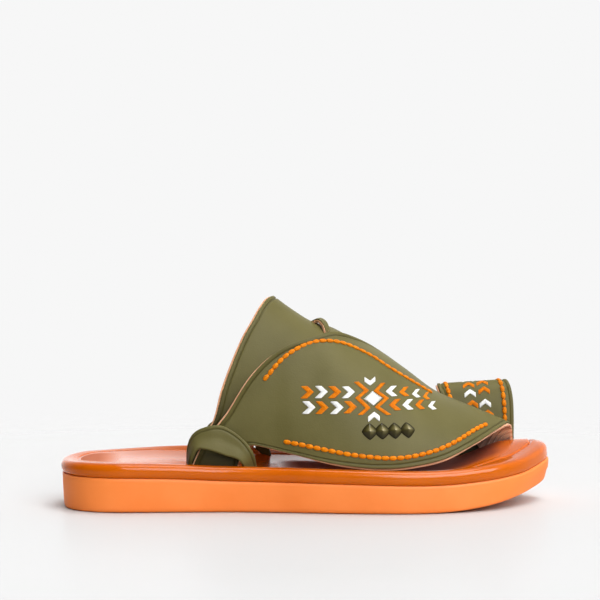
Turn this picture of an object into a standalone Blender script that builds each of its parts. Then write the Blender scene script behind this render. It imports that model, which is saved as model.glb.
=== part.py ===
"""A right-foot slide sandal with crossed straps and a big-toe loop.

Sizes below are millimetres, and MM turns them into metres.
+X points to the toe, +Y to the inner side of the foot and +Z up; the floor is Z = 0.
A station is a distance along the foot from the back of the heel rim.
A girth is an angle round the last: -90 the outer edge, 0 the top of the foot, 90 the inner edge.
"""

import math

import bmesh
import bpy
from mathutils import Matrix, Vector

MM = 0.001
GAP = 0.3
SHARP_ANGLE = 40.0

LENGTH = 288.4
HEEL_EDGE = 1.4
HEEL_CAP = 38.0
TOE_CAP = 80.0
CAP_POWER = 2.3
TOE_SPRING = 11.5
SPRING_START = 205.0
SPRING_POWER = 2.3
TOE_DRAW = 2.7
HEEL_ROUND = 16.0
HEEL_DIP = 0.16
CREST_ROW = 5
PAD_START = 225.0
PAD_END = 265.0
ARCH_RISE = 4.0
ARCH_STATION = 95.0
ARCH_REACH = 75.0
ARCH_WIDTH = 36.0
ARCH_LIMIT = 1.2
OUTLINE_STEPS = 34
FILL_COLUMNS = 6

SLOT_GAP = 0.4
SLOT_SPARE = 0.07
SLOT_DEPTH = 8.0
SLOT_ENDS = 1.8
SLOT_LOW = 10.0
SLOT_HIGH = 40.0
STRAP_WALL = 2.0
STRAP_STEPS = 48
STRAP_COLUMNS = 12
WING_LIFT = 1.0
POST_REACH = 3.0
NORMAL_STEP = 0.5
TAIL_DEPTH = 3.6
INNER_TAIL_DEPTH = 1.2
TAIL_REAR = 80.0
TAIL_FRONT = 102.0
TAIL_FLARE = 2.6
INNER_SHIFT = 10.0
POST_REAR = 254.5
POST_FRONT = 266.3
POST_FLARE = 7.4

KEEPER_WALL = 2.2
KEEPER_FOOT = 24.0
INNER_SQUAT = 0.8
LOOP_WALL = 2.0
LOOP_LEAN = 0.06
LOOP_MIDDLE = 245.0
LOOP_FOOT = 23.0
LOOP_HEIGHT = 44.0

STUD_COUNT = 4
STUD_FIRST = 178.0
STUD_PITCH = 7.1
STUD_HEIGHT = 46.7
STUD_RADIUS = 3.4
STUD_TALL = 1.3
STUD_RISE = 2.2
STUD_FLAT = 0.35

TIE_WALL = 2.2


class Table:
    """Rows under named columns, with a smooth curve through each column."""

    def __init__(self, names, rows):
        self.columns = dict(zip(names, zip(*rows)))
        self.keys = self.columns[names[0]]

    def at(self, name, key):
        keys = self.keys
        values = self.columns[name]
        last = len(keys) - 1
        key = min(max(key, keys[0]), keys[last])
        i = 0
        while i < last - 1 and keys[i + 1] <= key:
            i += 1
        span = keys[i + 1] - keys[i]
        t = (key - keys[i]) / span
        before = max(i - 1, 0)
        after = min(i + 2, last)
        start = span * (values[i + 1] - values[before]) / (keys[i + 1] - keys[before])
        end = span * (values[after] - values[i]) / (keys[after] - keys[i])
        rise = values[i + 1] - values[i]
        bend = (start + end - 2 * rise) * t
        return values[i] + t * (start + t * (3 * rise - 2 * start - end + bend))


PLAN = Table(
    ("station", "outer", "inner"),
    (
        (0, 38.0, 36.5),
        (40, 38.5, 37.0),
        (95, 38.5, 35.5),
        (120, 41.0, 36.0),
        (145, 45.5, 39.0),
        (170, 49.5, 43.5),
        (195, 51.8, 48.5),
        (215, 50.5, 51.0),
        (235, 46.8, 53.6),
        (250, 43.0, 55.6),
        (262, 38.5, 57.2),
        (272, 32.5, 57.2),
        (280, 26.0, 56.0),
        (289, 20.0, 54.0),
    ),
)

SOLE_HEIGHT = Table(
    ("station", "height", "dish"),
    (
        (0, 20.2, 0.0),
        (14, 20.1, 0.2),
        (45, 19.9, 2.4),
        (70, 19.3, 1.8),
        (95, 18.2, 1.0),
        (140, 17.5, 0.8),
        (195, 16.4, 1.5),
        (240, 15.7, -2.0),
        (258, 14.6, -5.0),
        (272, 13.5, -5.2),
        (289, 14.0, 0.0),
    ),
)

SOLE_WALL = Table(
    ("share", "inset"),
    (
        (0.0, 3.8),
        (0.02, 2.6),
        (0.08, 1.8),
        (0.18, 1.4),
        (0.6, 0.6),
        (1.0, 0.1),
    ),
)

RIM_ROLL = Table(
    ("row", "overhang", "rise", "toe_rise"),
    (
        (0, -0.5, 0.0, 0.0),
        (1, 0.8, 1.2, 1.3),
        (2, 1.4, 3.6, 3.8),
        (3, 1.1, 6.0, 6.2),
        (4, -0.2, 7.7, 7.9),
        (5, -2.6, 8.3, 8.7),
        (6, -4.8, 7.8, 9.0),
        (7, -7.2, 6.7, 9.3),
        (8, -10.0, 6.2, 9.8),
    ),
)

LAST = Table(
    ("station", "top_y", "top_z", "outer", "inner", "floor"),
    (
        (70, 0.0, 162.0, -30.5, 28.0, 24.0),
        (88, 0.5, 151.0, -30.5, 28.0, 23.6),
        (100, 1.2, 140.5, -30.7, 28.0, 23.3),
        (112, 2.0, 130.5, -32.0, 28.2, 23.2),
        (124, 3.0, 120.3, -34.2, 30.0, 23.0),
        (134, 4.0, 112.8, -37.0, 32.5, 23.0),
        (146, 5.0, 105.3, -39.5, 35.0, 23.0),
        (158, 6.0, 101.6, -41.7, 37.0, 22.8),
        (170, 8.0, 95.0, -43.2, 39.0, 22.6),
        (188, 10.0, 85.1, -43.6, 42.0, 22.3),
        (200, 11.0, 76.7, -42.6, 43.5, 22.4),
        (218, 11.0, 63.3, -38.0, 43.5, 22.8),
        (232, 9.8, 57.0, -31.5, 42.0, 23.4),
        (245, 9.0, 51.7, -21.5, 38.0, 24.8),
        (258, 8.5, 46.2, -6.0, 34.0, 27.0),
        (270, 8.5, 41.0, 4.0, 32.0, 29.4),
    ),
)

OUTER_WING = Table(
    ("row", "low_station", "low_girth", "top_station", "top_girth"),
    (
        (0, TAIL_FRONT, -90 - TAIL_DEPTH, TAIL_REAR, -90 - TAIL_DEPTH),
        (1, TAIL_FRONT, -90, TAIL_REAR + 0.5, -90),
        (2, 104.5, -85, 85, -83),
        (3, 110, -82, 91, -77),
        (4, 121, -82, 98, -71.9),
        (5, 138, -83.4, 110, -60.6),
        (6, 160, -86, 129.5, -41.3),
        (7, 184, -87, 154, -19.8),
        (8, 203, -85.3, 180, 0),
        (9, 219, -80.5, 203, 4),
        (10, 232, -71.8, 219, 8),
        (11, 245, -57.8, 229, 24),
        (12, 256, -35.8, 239, 52),
        (13, 261.7, -9, 248, 76),
        (14, 264.4, 20, 253, 89),
        (15, 265.8, 60, POST_REAR - 0.3, 90 + TAIL_DEPTH / 2),
        (16, POST_FRONT, 90 + TAIL_DEPTH, POST_REAR, 90 + TAIL_DEPTH),
    ),
)

INSTEP_BAND = Table(
    ("row", "rear_station", "rear_girth", "front_station", "front_girth"),
    (
        (0, TAIL_REAR, -90 - TAIL_DEPTH, TAIL_FRONT, -90 - TAIL_DEPTH),
        (1, TAIL_REAR, -90, TAIL_FRONT, -90),
        (2, 84, -84, 107, -79),
        (3, 88.3, -77.7, 115, -73),
        (4, 93.9, -68, 124, -62),
        (5, 99.6, -58.5, 136, -50),
        (6, 105.6, -48, 152, -36),
        (7, 112.6, -35, 172, -20),
        (8, 118.8, -18, 195, -6),
        (9, 123.2, 0, 211, 6),
        (10, 121.5, 18, 216, 22),
        (11, 117.5, 35, 218, 46),
        (12, 112.5, 48, 215, 70),
        (13, 108, 58.5, 202, 85),
        (14, 103, 68, 176, 85.6),
        (15, 98.3, 77.7, 146, 83.6),
        (16, 94, 84, 118, 80.8),
        (17, TAIL_REAR + INNER_SHIFT, 90, TAIL_FRONT + INNER_SHIFT, 90),
        (18, TAIL_REAR + INNER_SHIFT, 90 + INNER_TAIL_DEPTH, TAIL_FRONT + INNER_SHIFT, 90 + INNER_TAIL_DEPTH),
    ),
)

KEEPER = Table(
    ("row", "in_station", "in_out", "in_z", "rim_station", "rim_out", "rim_z"),
    (
        (0, 74.4, -8.0, 19.8, 77.4, 1.6, 19.8),
        (1, 74.0, -8.0, 26.0, 77.4, 1.7, 26.0),
        (2, 74.2, -5.0, 37.5, 78.6, 3.0, 31.0),
        (3, 77.6, -1.0, 45.8, 81.8, 4.0, 36.0),
        (4, 85.5, 1.6, 49.8, 87.5, 4.4, 36.6),
        (5, 94.0, 1.8, 49.8, 95.0, 4.4, 34.0),
        (6, 103.8, 2.3, 43.8, 101.6, 4.4, 31.6),
        (7, 110.6, 2.0, 35.8, 104.2, 3.6, 28.8),
        (8, 113.4, -5.0, 26.0, 105.6, 1.8, 25.6),
        (9, 113.4, -6.0, 19.0, 105.6, 1.8, 19.0),
    ),
)

TOE_LOOP = Table(
    ("row", "y", "z", "rear", "front"),
    (
        (0, 17.5, 25.2, 233.0, 267.5),
        (1, 17.5, 29.6, 232.5, 267.6),
        (2, 17.6, 37.0, 231.0, 267.6),
        (3, 18.4, 48.0, 228.6, 267.7),
        (4, 20.6, 58.0, 226.0, 267.4),
        (5, 24.6, 65.2, 223.8, 266.2),
        (6, 30.0, 68.0, 223.0, 264.4),
        (7, 35.4, 65.2, 224.0, 263.6),
        (8, 39.4, 58.0, 227.0, 263.2),
        (9, 41.6, 48.0, 231.5, 263.2),
        (10, 42.4, 37.0, 236.0, 263.2),
        (11, 42.5, 28.0, 239.5, 263.0),
        (12, 42.5, 24.2, 240.0, 263.0),
    ),
)

TIE = Table(
    ("row", "near_station", "near_girth", "far_station", "far_girth", "lift"),
    (
        (0, 146.4, -3.0, 148.4, 4.0, 3.4),
        (1, 148.4, -5.8, 150.4, 0.6, 4.4),
        (2, 150.4, -9.6, 152.4, -4.0, 4.8),
        (3, 152.2, -13.8, 154.2, -9.0, 4.4),
        (4, 153.8, -18.0, 155.8, -14.2, 3.4),
    ),
)


def lerp(start, end, share):
    return start + (end - start) * share


def place(station, y, z):
    """The point in metres, with the middle of the sole's length at X = 0."""
    return Vector(((station - LENGTH / 2) * MM, y * MM, z * MM))


def cap(distance, length):
    """Half-width share near a rounded end: 0 at the tip, 1 once past the cap's length."""
    short = max(0.0, 1.0 - distance / length)
    return (1.0 - short ** CAP_POWER) ** (1.0 / CAP_POWER)


def plan_edge(station, side):
    """Y of the sole's outline, side -1 the outer edge and 1 the inner edge."""
    outer = -PLAN.at("outer", station)
    inner = PLAN.at("inner", station)
    round_ends = cap(station - HEEL_EDGE, HEEL_CAP) * cap(LENGTH - station, TOE_CAP)
    return (outer + inner) / 2 + side * round_ends * (inner - outer) / 2


def outline():
    """The sole's outline from the heel along the outer edge to the toe, and back along the inner edge."""
    turns = [math.pi * i / OUTLINE_STEPS for i in range(OUTLINE_STEPS + 1)]
    stations = [lerp(HEEL_EDGE, LENGTH, (1 - math.cos(turn)) / 2) for turn in turns]
    outer = [(s, plan_edge(s, -1)) for s in stations]
    inner = [(s, plan_edge(s, 1)) for s in stations[-2:0:-1]]
    return outer + inner


def grown(ring, distances):
    """The ring with each point moved outwards in plan by its own distance."""
    moved = []
    for i, distance in enumerate(distances):
        before = ring[i - 1]
        after = ring[(i + 1) % len(ring)]
        run = Vector((after[0] - before[0], after[1] - before[1])).normalized()
        moved.append((ring[i][0] + run.y * distance, ring[i][1] - run.x * distance))
    return moved


def ground(station):
    """Underside of the sole above the floor."""
    share = max(0.0, station - SPRING_START) / (LENGTH - SPRING_START)
    return TOE_SPRING * share ** SPRING_POWER


def arch(station, y):
    """Rise of the inner side under the arch of the foot."""
    near = max(0.0, 1.0 - ((station - ARCH_STATION) / ARCH_REACH) ** 2)
    side = min(max(0.0, y / ARCH_WIDTH), ARCH_LIMIT)
    return ARCH_RISE * near * near * side * side


def sole_top(station, y):
    return ground(station) + SOLE_HEIGHT.at("height", station) + arch(station, y)


def footbed_base(station, y):
    return sole_top(station, y) + GAP


def add_ring(bm, ring, heights):
    return [bm.verts.new(place(s, y, z)) for (s, y), z in zip(ring, heights)]


def bridge(bm, lower, upper):
    """Side faces between two rings."""
    for i in range(len(lower)):
        j = (i + 1) % len(lower)
        bm.faces.new((lower[i], lower[j], upper[j], upper[i]))


def fill_across(bm, verts, ring, height):
    """Closes a ring with faces between its two edges, at heights for an outline step and a place."""
    half = len(ring) // 2
    rows = []
    for i in range(1, half):
        row = [verts[i]]
        for k in range(1, FILL_COLUMNS):
            share = k / FILL_COLUMNS
            s = lerp(ring[i][0], ring[-i][0], share)
            y = lerp(ring[i][1], ring[-i][1], share)
            row.append(bm.verts.new(place(s, y, height(i, s, y, share))))
        rows.append(row + [verts[-i]])
    for near, far in zip(rows, rows[1:]):
        for k in range(FILL_COLUMNS):
            bm.faces.new((near[k], near[k + 1], far[k + 1], far[k]))
    for tip, row in ((verts[0], rows[0]), (verts[half], rows[-1])):
        for k in range(FILL_COLUMNS):
            bm.faces.new((tip, row[k], row[k + 1]))


def new_object(name, bm, collection):
    """A mesh object with outward faces, in the given collection."""
    bmesh.ops.recalc_face_normals(bm, faces=bm.faces)
    mesh = bpy.data.meshes.new(name)
    bm.to_mesh(mesh)
    bm.free()
    made = bpy.data.objects.new(name, mesh)
    collection.objects.link(made)
    return made


def finish(made, colour, roughness):
    """One plain material, and smooth shading up to a sharp edge."""
    material = bpy.data.materials.new(made.name)
    material.use_nodes = True
    shader = material.node_tree.nodes["Principled BSDF"]
    shader.inputs["Base Color"].default_value = (*colour, 1.0)
    shader.inputs["Roughness"].default_value = roughness
    made.data.materials.append(material)
    made.data.shade_smooth()
    made.data.set_sharp_from_angle(angle=math.radians(SHARP_ANGLE))


def hide_tool(tool):
    tool.hide_render = True
    tool.display_type = "WIRE"


def solidify(made, thickness, offset):
    shell = made.modifiers.new("wall", "SOLIDIFY")
    shell.thickness = thickness * MM
    shell.offset = offset


def boolean(made, operation, tool):
    step = made.modifiers.new(tool.name, "BOOLEAN")
    step.operation = operation
    step.solver = "EXACT"
    step.object = tool


def box_tool(name, low, high, collection):
    """A box cutter between two corners given as (station, y, z)."""
    bm = bmesh.new()
    bmesh.ops.create_cube(bm, size=1.0)
    start = place(*low)
    end = place(*high)
    for vert in bm.verts:
        vert.co = (start + end) / 2 + Vector(c * abs(d) for c, d in zip(vert.co, end - start))
    tool = new_object(name, bm, collection)
    hide_tool(tool)
    return tool


def make_sole(parts):
    bm = bmesh.new()
    base = outline()
    stations = [s for s, _ in base]
    first = previous = None
    for share, inset in zip(SOLE_WALL.keys, SOLE_WALL.columns["inset"]):
        ring = grown(base, [-inset] * len(base))
        heights = [lerp(ground(s), sole_top(s, y), share) for s, (_, y) in zip(stations, ring)]
        verts = add_ring(bm, ring, heights)
        if previous:
            bridge(bm, previous, verts)
        else:
            first = (verts, ring)
        previous = verts
    fill_across(bm, *first, lambda i, s, y, share: ground(stations[i]))
    fill_across(bm, previous, ring, lambda i, s, y, share: sole_top(stations[i], y))
    return new_object("sole", bm, parts)


def footbed_surface(station, y, share):
    """Top of the padded insole, dished between its rims."""
    dish = SOLE_HEIGHT.at("dish", station) * (1.0 - (2.0 * share - 1.0) ** 2)
    return footbed_base(station, y) + rim_rise(len(RIM_ROLL.keys) - 1, station) - dish


def rim_base(row, edge_station, station, y):
    """What the rim stands on: the sole under its foot, and the sole's edge from the crest inwards."""
    return lerp(footbed_base(station, y), footbed_base(edge_station, y), min(1.0, row / CREST_ROW))


def rim_rise(row, station):
    """Height of the rolled rim, which runs up on to a thicker pad at the toe and dips round the heel."""
    share = min(max(0.0, (station - PAD_START) / (PAD_END - PAD_START)), 1.0)
    thick = share * share * (3.0 - 2.0 * share)
    heel = max(0.0, 1.0 - station / HEEL_ROUND) ** 2
    rise = lerp(RIM_ROLL.columns["rise"][row], RIM_ROLL.columns["toe_rise"][row], thick)
    return rise * (1.0 - HEEL_DIP * heel)


def make_footbed(parts):
    bm = bmesh.new()
    base = outline()
    stations = [s for s, _ in base]
    first = previous = None
    for row, overhang in enumerate(RIM_ROLL.columns["overhang"]):
        reach = [lerp(overhang, overhang - TOE_DRAW, cap_share(s)) for s in stations]
        ring = grown(base, reach)
        heights = [rim_base(row, s, *point) + rim_rise(row, s) for s, point in zip(stations, ring)]
        verts = add_ring(bm, ring, heights)
        if previous:
            bridge(bm, previous, verts)
        else:
            first = (verts, ring)
        previous = verts
    fill_across(bm, *first, lambda i, s, y, share: footbed_base(s, y))
    fill_across(bm, previous, ring, lambda i, s, y, share: footbed_surface(stations[i], y, share))
    return new_object("footbed", bm, parts)


def cap_share(station):
    """How far the rim has drawn back from the sole's edge: 0 along the sides, 1 at the toe."""
    share = max(0.0, 1.0 - (LENGTH - station) / TOE_CAP)
    return share * share


def last_point(station, girth, inner_reach):
    """A point on the last, whose sections are two quarter ovals on straight sides."""
    top_y = LAST.at("top_y", station)
    top_z = LAST.at("top_z", station)
    floor = LAST.at("floor", station)
    reach = LAST.at("outer", station) - top_y
    if girth > 0:
        reach = inner_reach(station)
    turn = math.radians(min(abs(girth), 90.0))
    below = max(0.0, abs(girth) - 90.0)
    return place(station, top_y + reach * math.sin(turn), lerp(floor, top_z, math.cos(turn)) - below)


def foot_reach(station):
    return LAST.at("inner", station) - LAST.at("top_y", station)


def post_reach(station):
    return POST_REACH


def skin_point(station, girth, inner_reach, lift):
    """A point at a distance off the last, square to it."""
    step = NORMAL_STEP
    along = last_point(station + step, girth, inner_reach) - last_point(station - step, girth, inner_reach)
    around = last_point(station, girth + step, inner_reach) - last_point(station, girth - step, inner_reach)
    outward = along.cross(around).normalized()
    return last_point(station, girth, inner_reach) + outward * lift * MM


def grid_faces(bm, points):
    """A sheet of faces over rows of points."""
    rows = [[bm.verts.new(point) for point in row] for row in points]
    for near, far in zip(rows, rows[1:]):
        for k in range(len(near) - 1):
            bm.faces.new((near[k], near[k + 1], far[k + 1], far[k]))


def strap_sheet(table, one, other, inner_reach, lift):
    """Points of a strap between its two edges, each a curve through the table's rows."""
    points = []
    for i in range(STRAP_STEPS + 1):
        row = table.keys[-1] * i / STRAP_STEPS
        line = []
        for k in range(STRAP_COLUMNS + 1):
            share = k / STRAP_COLUMNS
            station = lerp(table.at(one + "_station", row), table.at(other + "_station", row), share)
            girth = lerp(table.at(one + "_girth", row), table.at(other + "_girth", row), share)
            line.append(skin_point(station, girth, inner_reach, lift))
        points.append(line)
    return points


def face_outwards(bm):
    """Turns an open sheet so that its faces look away from the foot."""
    bm.normal_update()
    middle = place(LENGTH / 2, 0.0, LAST.at("floor", LENGTH / 2))
    votes = sum(face.normal.dot(face.calc_center_median() - middle) * face.calc_area() for face in bm.faces)
    if votes < 0:
        bmesh.ops.reverse_faces(bm, faces=bm.faces)


def sheet_object(name, points, collection):
    bm = bmesh.new()
    grid_faces(bm, points)
    face_outwards(bm)
    mesh = bpy.data.meshes.new(name)
    bm.to_mesh(mesh)
    bm.free()
    made = bpy.data.objects.new(name, mesh)
    collection.objects.link(made)
    return made


def make_upper(parts, tools):
    band = sheet_object("instep_band", strap_sheet(INSTEP_BAND, "rear", "front", foot_reach, 0.0), tools)
    solidify(band, STRAP_WALL, 1.0)
    hide_tool(band)
    wing = sheet_object("upper", strap_sheet(OUTER_WING, "low", "top", post_reach, WING_LIFT), parts)
    solidify(wing, STRAP_WALL, 1.0)
    boolean(wing, "UNION", band)
    return wing


def tail_shift(side):
    """The inner tail stands further forward than the outer one."""
    return INNER_SHIFT if side > 0 else 0.0


def tail_face(side):
    """Distance of a strap tail's outer face from the middle line."""
    if side < 0:
        return -LAST.at("outer", TAIL_REAR) + WING_LIFT + STRAP_WALL
    return LAST.at("inner", TAIL_REAR + INNER_SHIFT) + STRAP_WALL


def keeper_sheet(side, spare):
    """The keeper's middle surface; its slot has spare width, and legs that go on through the footbed."""
    face = tail_face(side)
    steps = 36
    columns = 5
    points = []
    for i in range(steps + 1):
        row = KEEPER.keys[-1] * i / steps
        inside = [KEEPER.at(name, row) for name in ("in_station", "in_out", "in_z")]
        outside = [KEEPER.at(name, row) for name in ("rim_station", "rim_out", "rim_z")]
        sunk = SLOT_DEPTH if spare and i in (0, steps) else 0.0
        line = []
        for k in range(columns + 1):
            share = lerp(-spare, 1.0 + spare, k / columns)
            station, out, z = (lerp(a, b, share) for a, b in zip(inside, outside))
            station += tail_shift(side)
            height = keeper_height(side, station, out, z) - sunk
            line.append(place(station, side * (face + out), height))
        points.append(line)
    return points


def keeper_height(side, station, out, z):
    """The inner keeper is lower than the outer one, and stands on the arch."""
    if side < 0:
        return z
    return lerp(KEEPER_FOOT, z, INNER_SQUAT) + arch(station, tail_face(side) + out)


def make_keeper(name, side, parts, tools):
    keeper = sheet_object(name, keeper_sheet(side, 0.0), parts)
    solidify(keeper, KEEPER_WALL, 0.0)
    slot = sheet_object(name + "_slot", keeper_sheet(side, SLOT_SPARE), tools)
    solidify(slot, KEEPER_WALL + 2 * SLOT_GAP, 0.0)
    hide_tool(slot)
    return keeper, slot


def loop_sheet():
    points = []
    steps = 36
    columns = 8
    for i in range(steps + 1):
        row = TOE_LOOP.keys[-1] * i / steps
        y = TOE_LOOP.at("y", row)
        z = TOE_LOOP.at("z", row)
        line = []
        for k in range(columns + 1):
            station = lerp(TOE_LOOP.at("rear", row), TOE_LOOP.at("front", row), k / columns)
            lean = LOOP_LEAN * (station - LOOP_MIDDLE) * (z - LOOP_FOOT) / LOOP_HEIGHT
            line.append(place(station, y, z + lean))
        points.append(line)
    return points


def make_loop(parts):
    loop = sheet_object("toe_loop", loop_sheet(), parts)
    solidify(loop, LOOP_WALL, 0.0)
    return loop


def make_tie(parts):
    points = []
    steps = 10
    columns = 3
    for i in range(steps + 1):
        row = TIE.keys[-1] * i / steps
        line = []
        for k in range(columns + 1):
            station = lerp(TIE.at("near_station", row), TIE.at("far_station", row), k / columns)
            girth = lerp(TIE.at("near_girth", row), TIE.at("far_girth", row), k / columns)
            line.append(skin_point(station, girth, foot_reach, TIE.at("lift", row)))
        points.append(line)
    tie = sheet_object("crossing_tie", points, parts)
    solidify(tie, TIE_WALL, 0.0)
    return tie


def girth_at_height(station, z):
    """The outer girth at which the last stands z above the floor."""
    floor = LAST.at("floor", station)
    return -math.degrees(math.acos((z - floor) / (LAST.at("top_z", station) - floor)))


def make_studs(parts):
    studs = []
    for i in range(STUD_COUNT):
        station = STUD_FIRST + STUD_PITCH * i
        girth = girth_at_height(station, STUD_HEIGHT)
        low = skin_point(station, girth, post_reach, 0.0)
        out = skin_point(station, girth, post_reach, 1.0) - low
        ahead = skin_point(station + 1.0, girth_at_height(station + 1.0, STUD_HEIGHT), post_reach, 0.0) - low
        bm = bmesh.new()
        bmesh.ops.create_cone(
            bm, cap_ends=True, segments=4, radius1=STUD_RADIUS * MM,
            radius2=STUD_FLAT * MM, depth=STUD_RISE * MM,
        )
        bmesh.ops.scale(bm, vec=(1.0, STUD_TALL, 1.0), verts=bm.verts)
        stud = new_object("stud_" + str(i + 1), bm, parts)
        axis_z = out.normalized()
        axis_y = axis_z.cross(ahead).normalized()
        axis_x = axis_y.cross(axis_z)
        stud.rotation_mode = "QUATERNION"
        turned = Matrix((axis_x, axis_y, axis_z)).transposed()
        stud.rotation_quaternion = turned.to_quaternion()
        lift = WING_LIFT + STRAP_WALL + GAP + STUD_RISE / 2
        stud.location = low + axis_z * lift * MM
        studs.append(stud)
    return studs


def cut_slots(footbed, slots, tools):
    """Opens the footbed for the strap tails, the keepers, the toe post and the toe loop."""
    for side in (-1, 1):
        face = tail_face(side)
        wall = 2 * STRAP_WALL
        low = (TAIL_REAR + tail_shift(side) - SLOT_GAP, side * (face + SLOT_GAP), SLOT_LOW)
        high = (TAIL_FRONT + tail_shift(side) + TAIL_FLARE, side * (face - wall - SLOT_GAP), SLOT_HIGH)
        slots.append(box_tool("tail_slot", low, high, tools))
    post_y = LAST.at("top_y", POST_REAR) + POST_REACH
    loop_near = TOE_LOOP.columns["y"][0] + LOOP_WALL / 2 + SLOT_GAP
    low = (POST_REAR - POST_FLARE, post_y, SLOT_LOW)
    high = (POST_FRONT + SLOT_ENDS, loop_near, SLOT_HIGH)
    slots.append(box_tool("post_slot", low, high, tools))
    half = LOOP_WALL / 2 + SLOT_GAP
    for end in (0, -1):
        middle = TOE_LOOP.columns["y"][end]
        low = (TOE_LOOP.columns["rear"][end] - SLOT_ENDS, middle - half, SLOT_LOW)
        high = (TOE_LOOP.columns["front"][end] + SLOT_ENDS, middle + half, SLOT_HIGH)
        slots.append(box_tool("loop_slot", low, high, tools))
    for slot in slots:
        boolean(footbed, "DIFFERENCE", slot)


for old in list(bpy.data.objects):
    bpy.data.objects.remove(old)
parts = bpy.data.collections.new("embroidered_slide_sandal")
tools = bpy.data.collections.new("cutters")
bpy.context.scene.collection.children.link(parts)
bpy.context.scene.collection.children.link(tools)

sole = make_sole(parts)
footbed = make_footbed(parts)
upper = make_upper(parts, tools)
keeper_outer, slot_outer = make_keeper("keeper_outer", -1, parts, tools)
keeper_inner, slot_inner = make_keeper("keeper_inner", 1, parts, tools)
toe_loop = make_loop(parts)
crossing_tie = make_tie(parts)
studs = make_studs(parts)
cut_slots(footbed, [slot_outer, slot_inner], tools)

OLIVE = (0.135, 0.120, 0.045)
finish(sole, (0.90, 0.26, 0.07), 0.6)
finish(footbed, (0.62, 0.15, 0.02), 0.25)
finish(upper, OLIVE, 0.55)
finish(keeper_outer, OLIVE, 0.55)
finish(keeper_inner, OLIVE, 0.55)
finish(toe_loop, OLIVE, 0.55)
finish(crossing_tie, OLIVE, 0.55)
for stud in studs:
    finish(stud, (0.05, 0.045, 0.018), 0.35)
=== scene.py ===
import math

import bmesh
import bpy
import numpy as np
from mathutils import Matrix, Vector


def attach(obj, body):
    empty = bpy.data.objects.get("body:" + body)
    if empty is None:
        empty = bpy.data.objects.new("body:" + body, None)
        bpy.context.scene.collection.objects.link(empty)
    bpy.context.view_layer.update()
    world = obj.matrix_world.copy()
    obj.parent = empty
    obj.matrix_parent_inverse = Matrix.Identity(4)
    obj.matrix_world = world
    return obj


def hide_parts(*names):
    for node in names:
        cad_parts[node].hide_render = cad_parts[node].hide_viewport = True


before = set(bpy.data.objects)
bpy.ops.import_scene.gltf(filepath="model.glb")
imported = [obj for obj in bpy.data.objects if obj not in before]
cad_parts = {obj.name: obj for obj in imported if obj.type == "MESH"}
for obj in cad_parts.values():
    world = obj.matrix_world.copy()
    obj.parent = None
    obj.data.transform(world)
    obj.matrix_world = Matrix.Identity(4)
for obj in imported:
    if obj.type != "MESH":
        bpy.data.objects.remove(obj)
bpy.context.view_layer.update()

# Sole
# A thick block of light-orange foam rubber with a drafted side, a rounded lower edge and toe spring.
# It is moulded with a shallow wave tread underneath and cemented to the footbed.
MM = 0.001
SOLE_LENGTH = 288.4
HEEL_EDGE = 1.4
HEEL_CAP = 38.0
TOE_CAP = 80.0
CAP_POWER = 2.3
TOE_SPRING = 11.5
SPRING_START = 205.0
SPRING_POWER = 2.3
ARCH_RISE = 4.0
ARCH_STATION = 95.0
ARCH_REACH = 75.0
ARCH_WIDTH = 36.0
ARCH_LIMIT = 1.2
OUTLINE_STEPS = 280
OUTLINE_PROBES = 3000
SOLE_COLUMNS = 28
TOP_ROUND = 0.5
TOP_ROUND_START = 0.96
TOP_ROUND_SPAN = 0.04
TOE_TOP_START = 0.8
TOE_ROUND_START = 235.0
TOE_ROUND_LENGTH = 50.0
TOE_DRAFT = 0.7
TOE_DRAFT_TOP = 0.6
HEEL_SWELL = 0.7
HEEL_SWELL_END = 30.0
HEEL_DRAFT = 0.45
TREAD_PITCH = 8.0
TREAD_DEPTH = 0.7
TREAD_SWING = 26.0
TREAD_SLANT = 0.4
TREAD_BORDER = 14.0
TREAD_HEEL = 10.0
TREAD_TOE = 14.0
TREAD_FADE = 6.0


class Table:
    """Rows under named columns, with a smooth curve through each column."""

    def __init__(self, names, rows):
        self.columns = dict(zip(names, np.array(rows, dtype=float).T))
        self.keys = self.columns[names[0]]

    def at(self, name, key):
        keys = self.keys
        values = self.columns[name]
        last = len(keys) - 1
        key = np.clip(key, keys[0], keys[last])
        i = np.clip(np.searchsorted(keys, key, side="right") - 1, 0, last - 1)
        span = keys[i + 1] - keys[i]
        t = (key - keys[i]) / span
        before = np.maximum(i - 1, 0)
        after = np.minimum(i + 2, last)
        start = span * (values[i + 1] - values[before]) / (keys[i + 1] - keys[before])
        end = span * (values[after] - values[i]) / (keys[after] - keys[i])
        rise = values[i + 1] - values[i]
        bend = (start + end - 2 * rise) * t
        return values[i] + t * (start + t * (3 * rise - 2 * start - end + bend))

    def between(self, one, other, key, share):
        """A value a share of the way from one column to another."""
        return lerp(self.at(one, key), self.at(other, key), share)


PLAN = Table(
    ("station", "outer", "inner"),
    (
        (0, 38.0, 36.5), (40, 38.5, 37.0), (95, 38.5, 35.5), (120, 41.0, 36.0), (145, 45.5, 39.0),
        (170, 49.5, 43.5), (195, 51.8, 48.5), (215, 50.5, 51.0), (235, 46.8, 53.6), (250, 43.0, 55.6),
        (262, 38.5, 57.2), (272, 32.5, 57.2), (280, 26.0, 56.0), (289, 20.0, 54.0),
    ),
)
SOLE_HEIGHT = Table(
    ("station", "height", "dish"),
    (
        (0, 20.2, 0.0), (14, 20.1, 0.2), (45, 19.9, 1.2), (70, 19.3, 1.0), (95, 18.2, 0.9),
        (140, 17.5, 0.8), (195, 16.4, 1.5), (240, 15.7, -2.0), (258, 14.6, -5.0), (272, 13.5, -5.2),
        (289, 14.0, 0.0),
    ),
)
SOLE_WALL = Table(
    ("share", "inset"),
    ((0.0, 3.8), (0.02, 2.6), (0.08, 1.8), (0.18, 1.4), (0.6, 0.6), (1.0, 0.1)),
)
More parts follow.
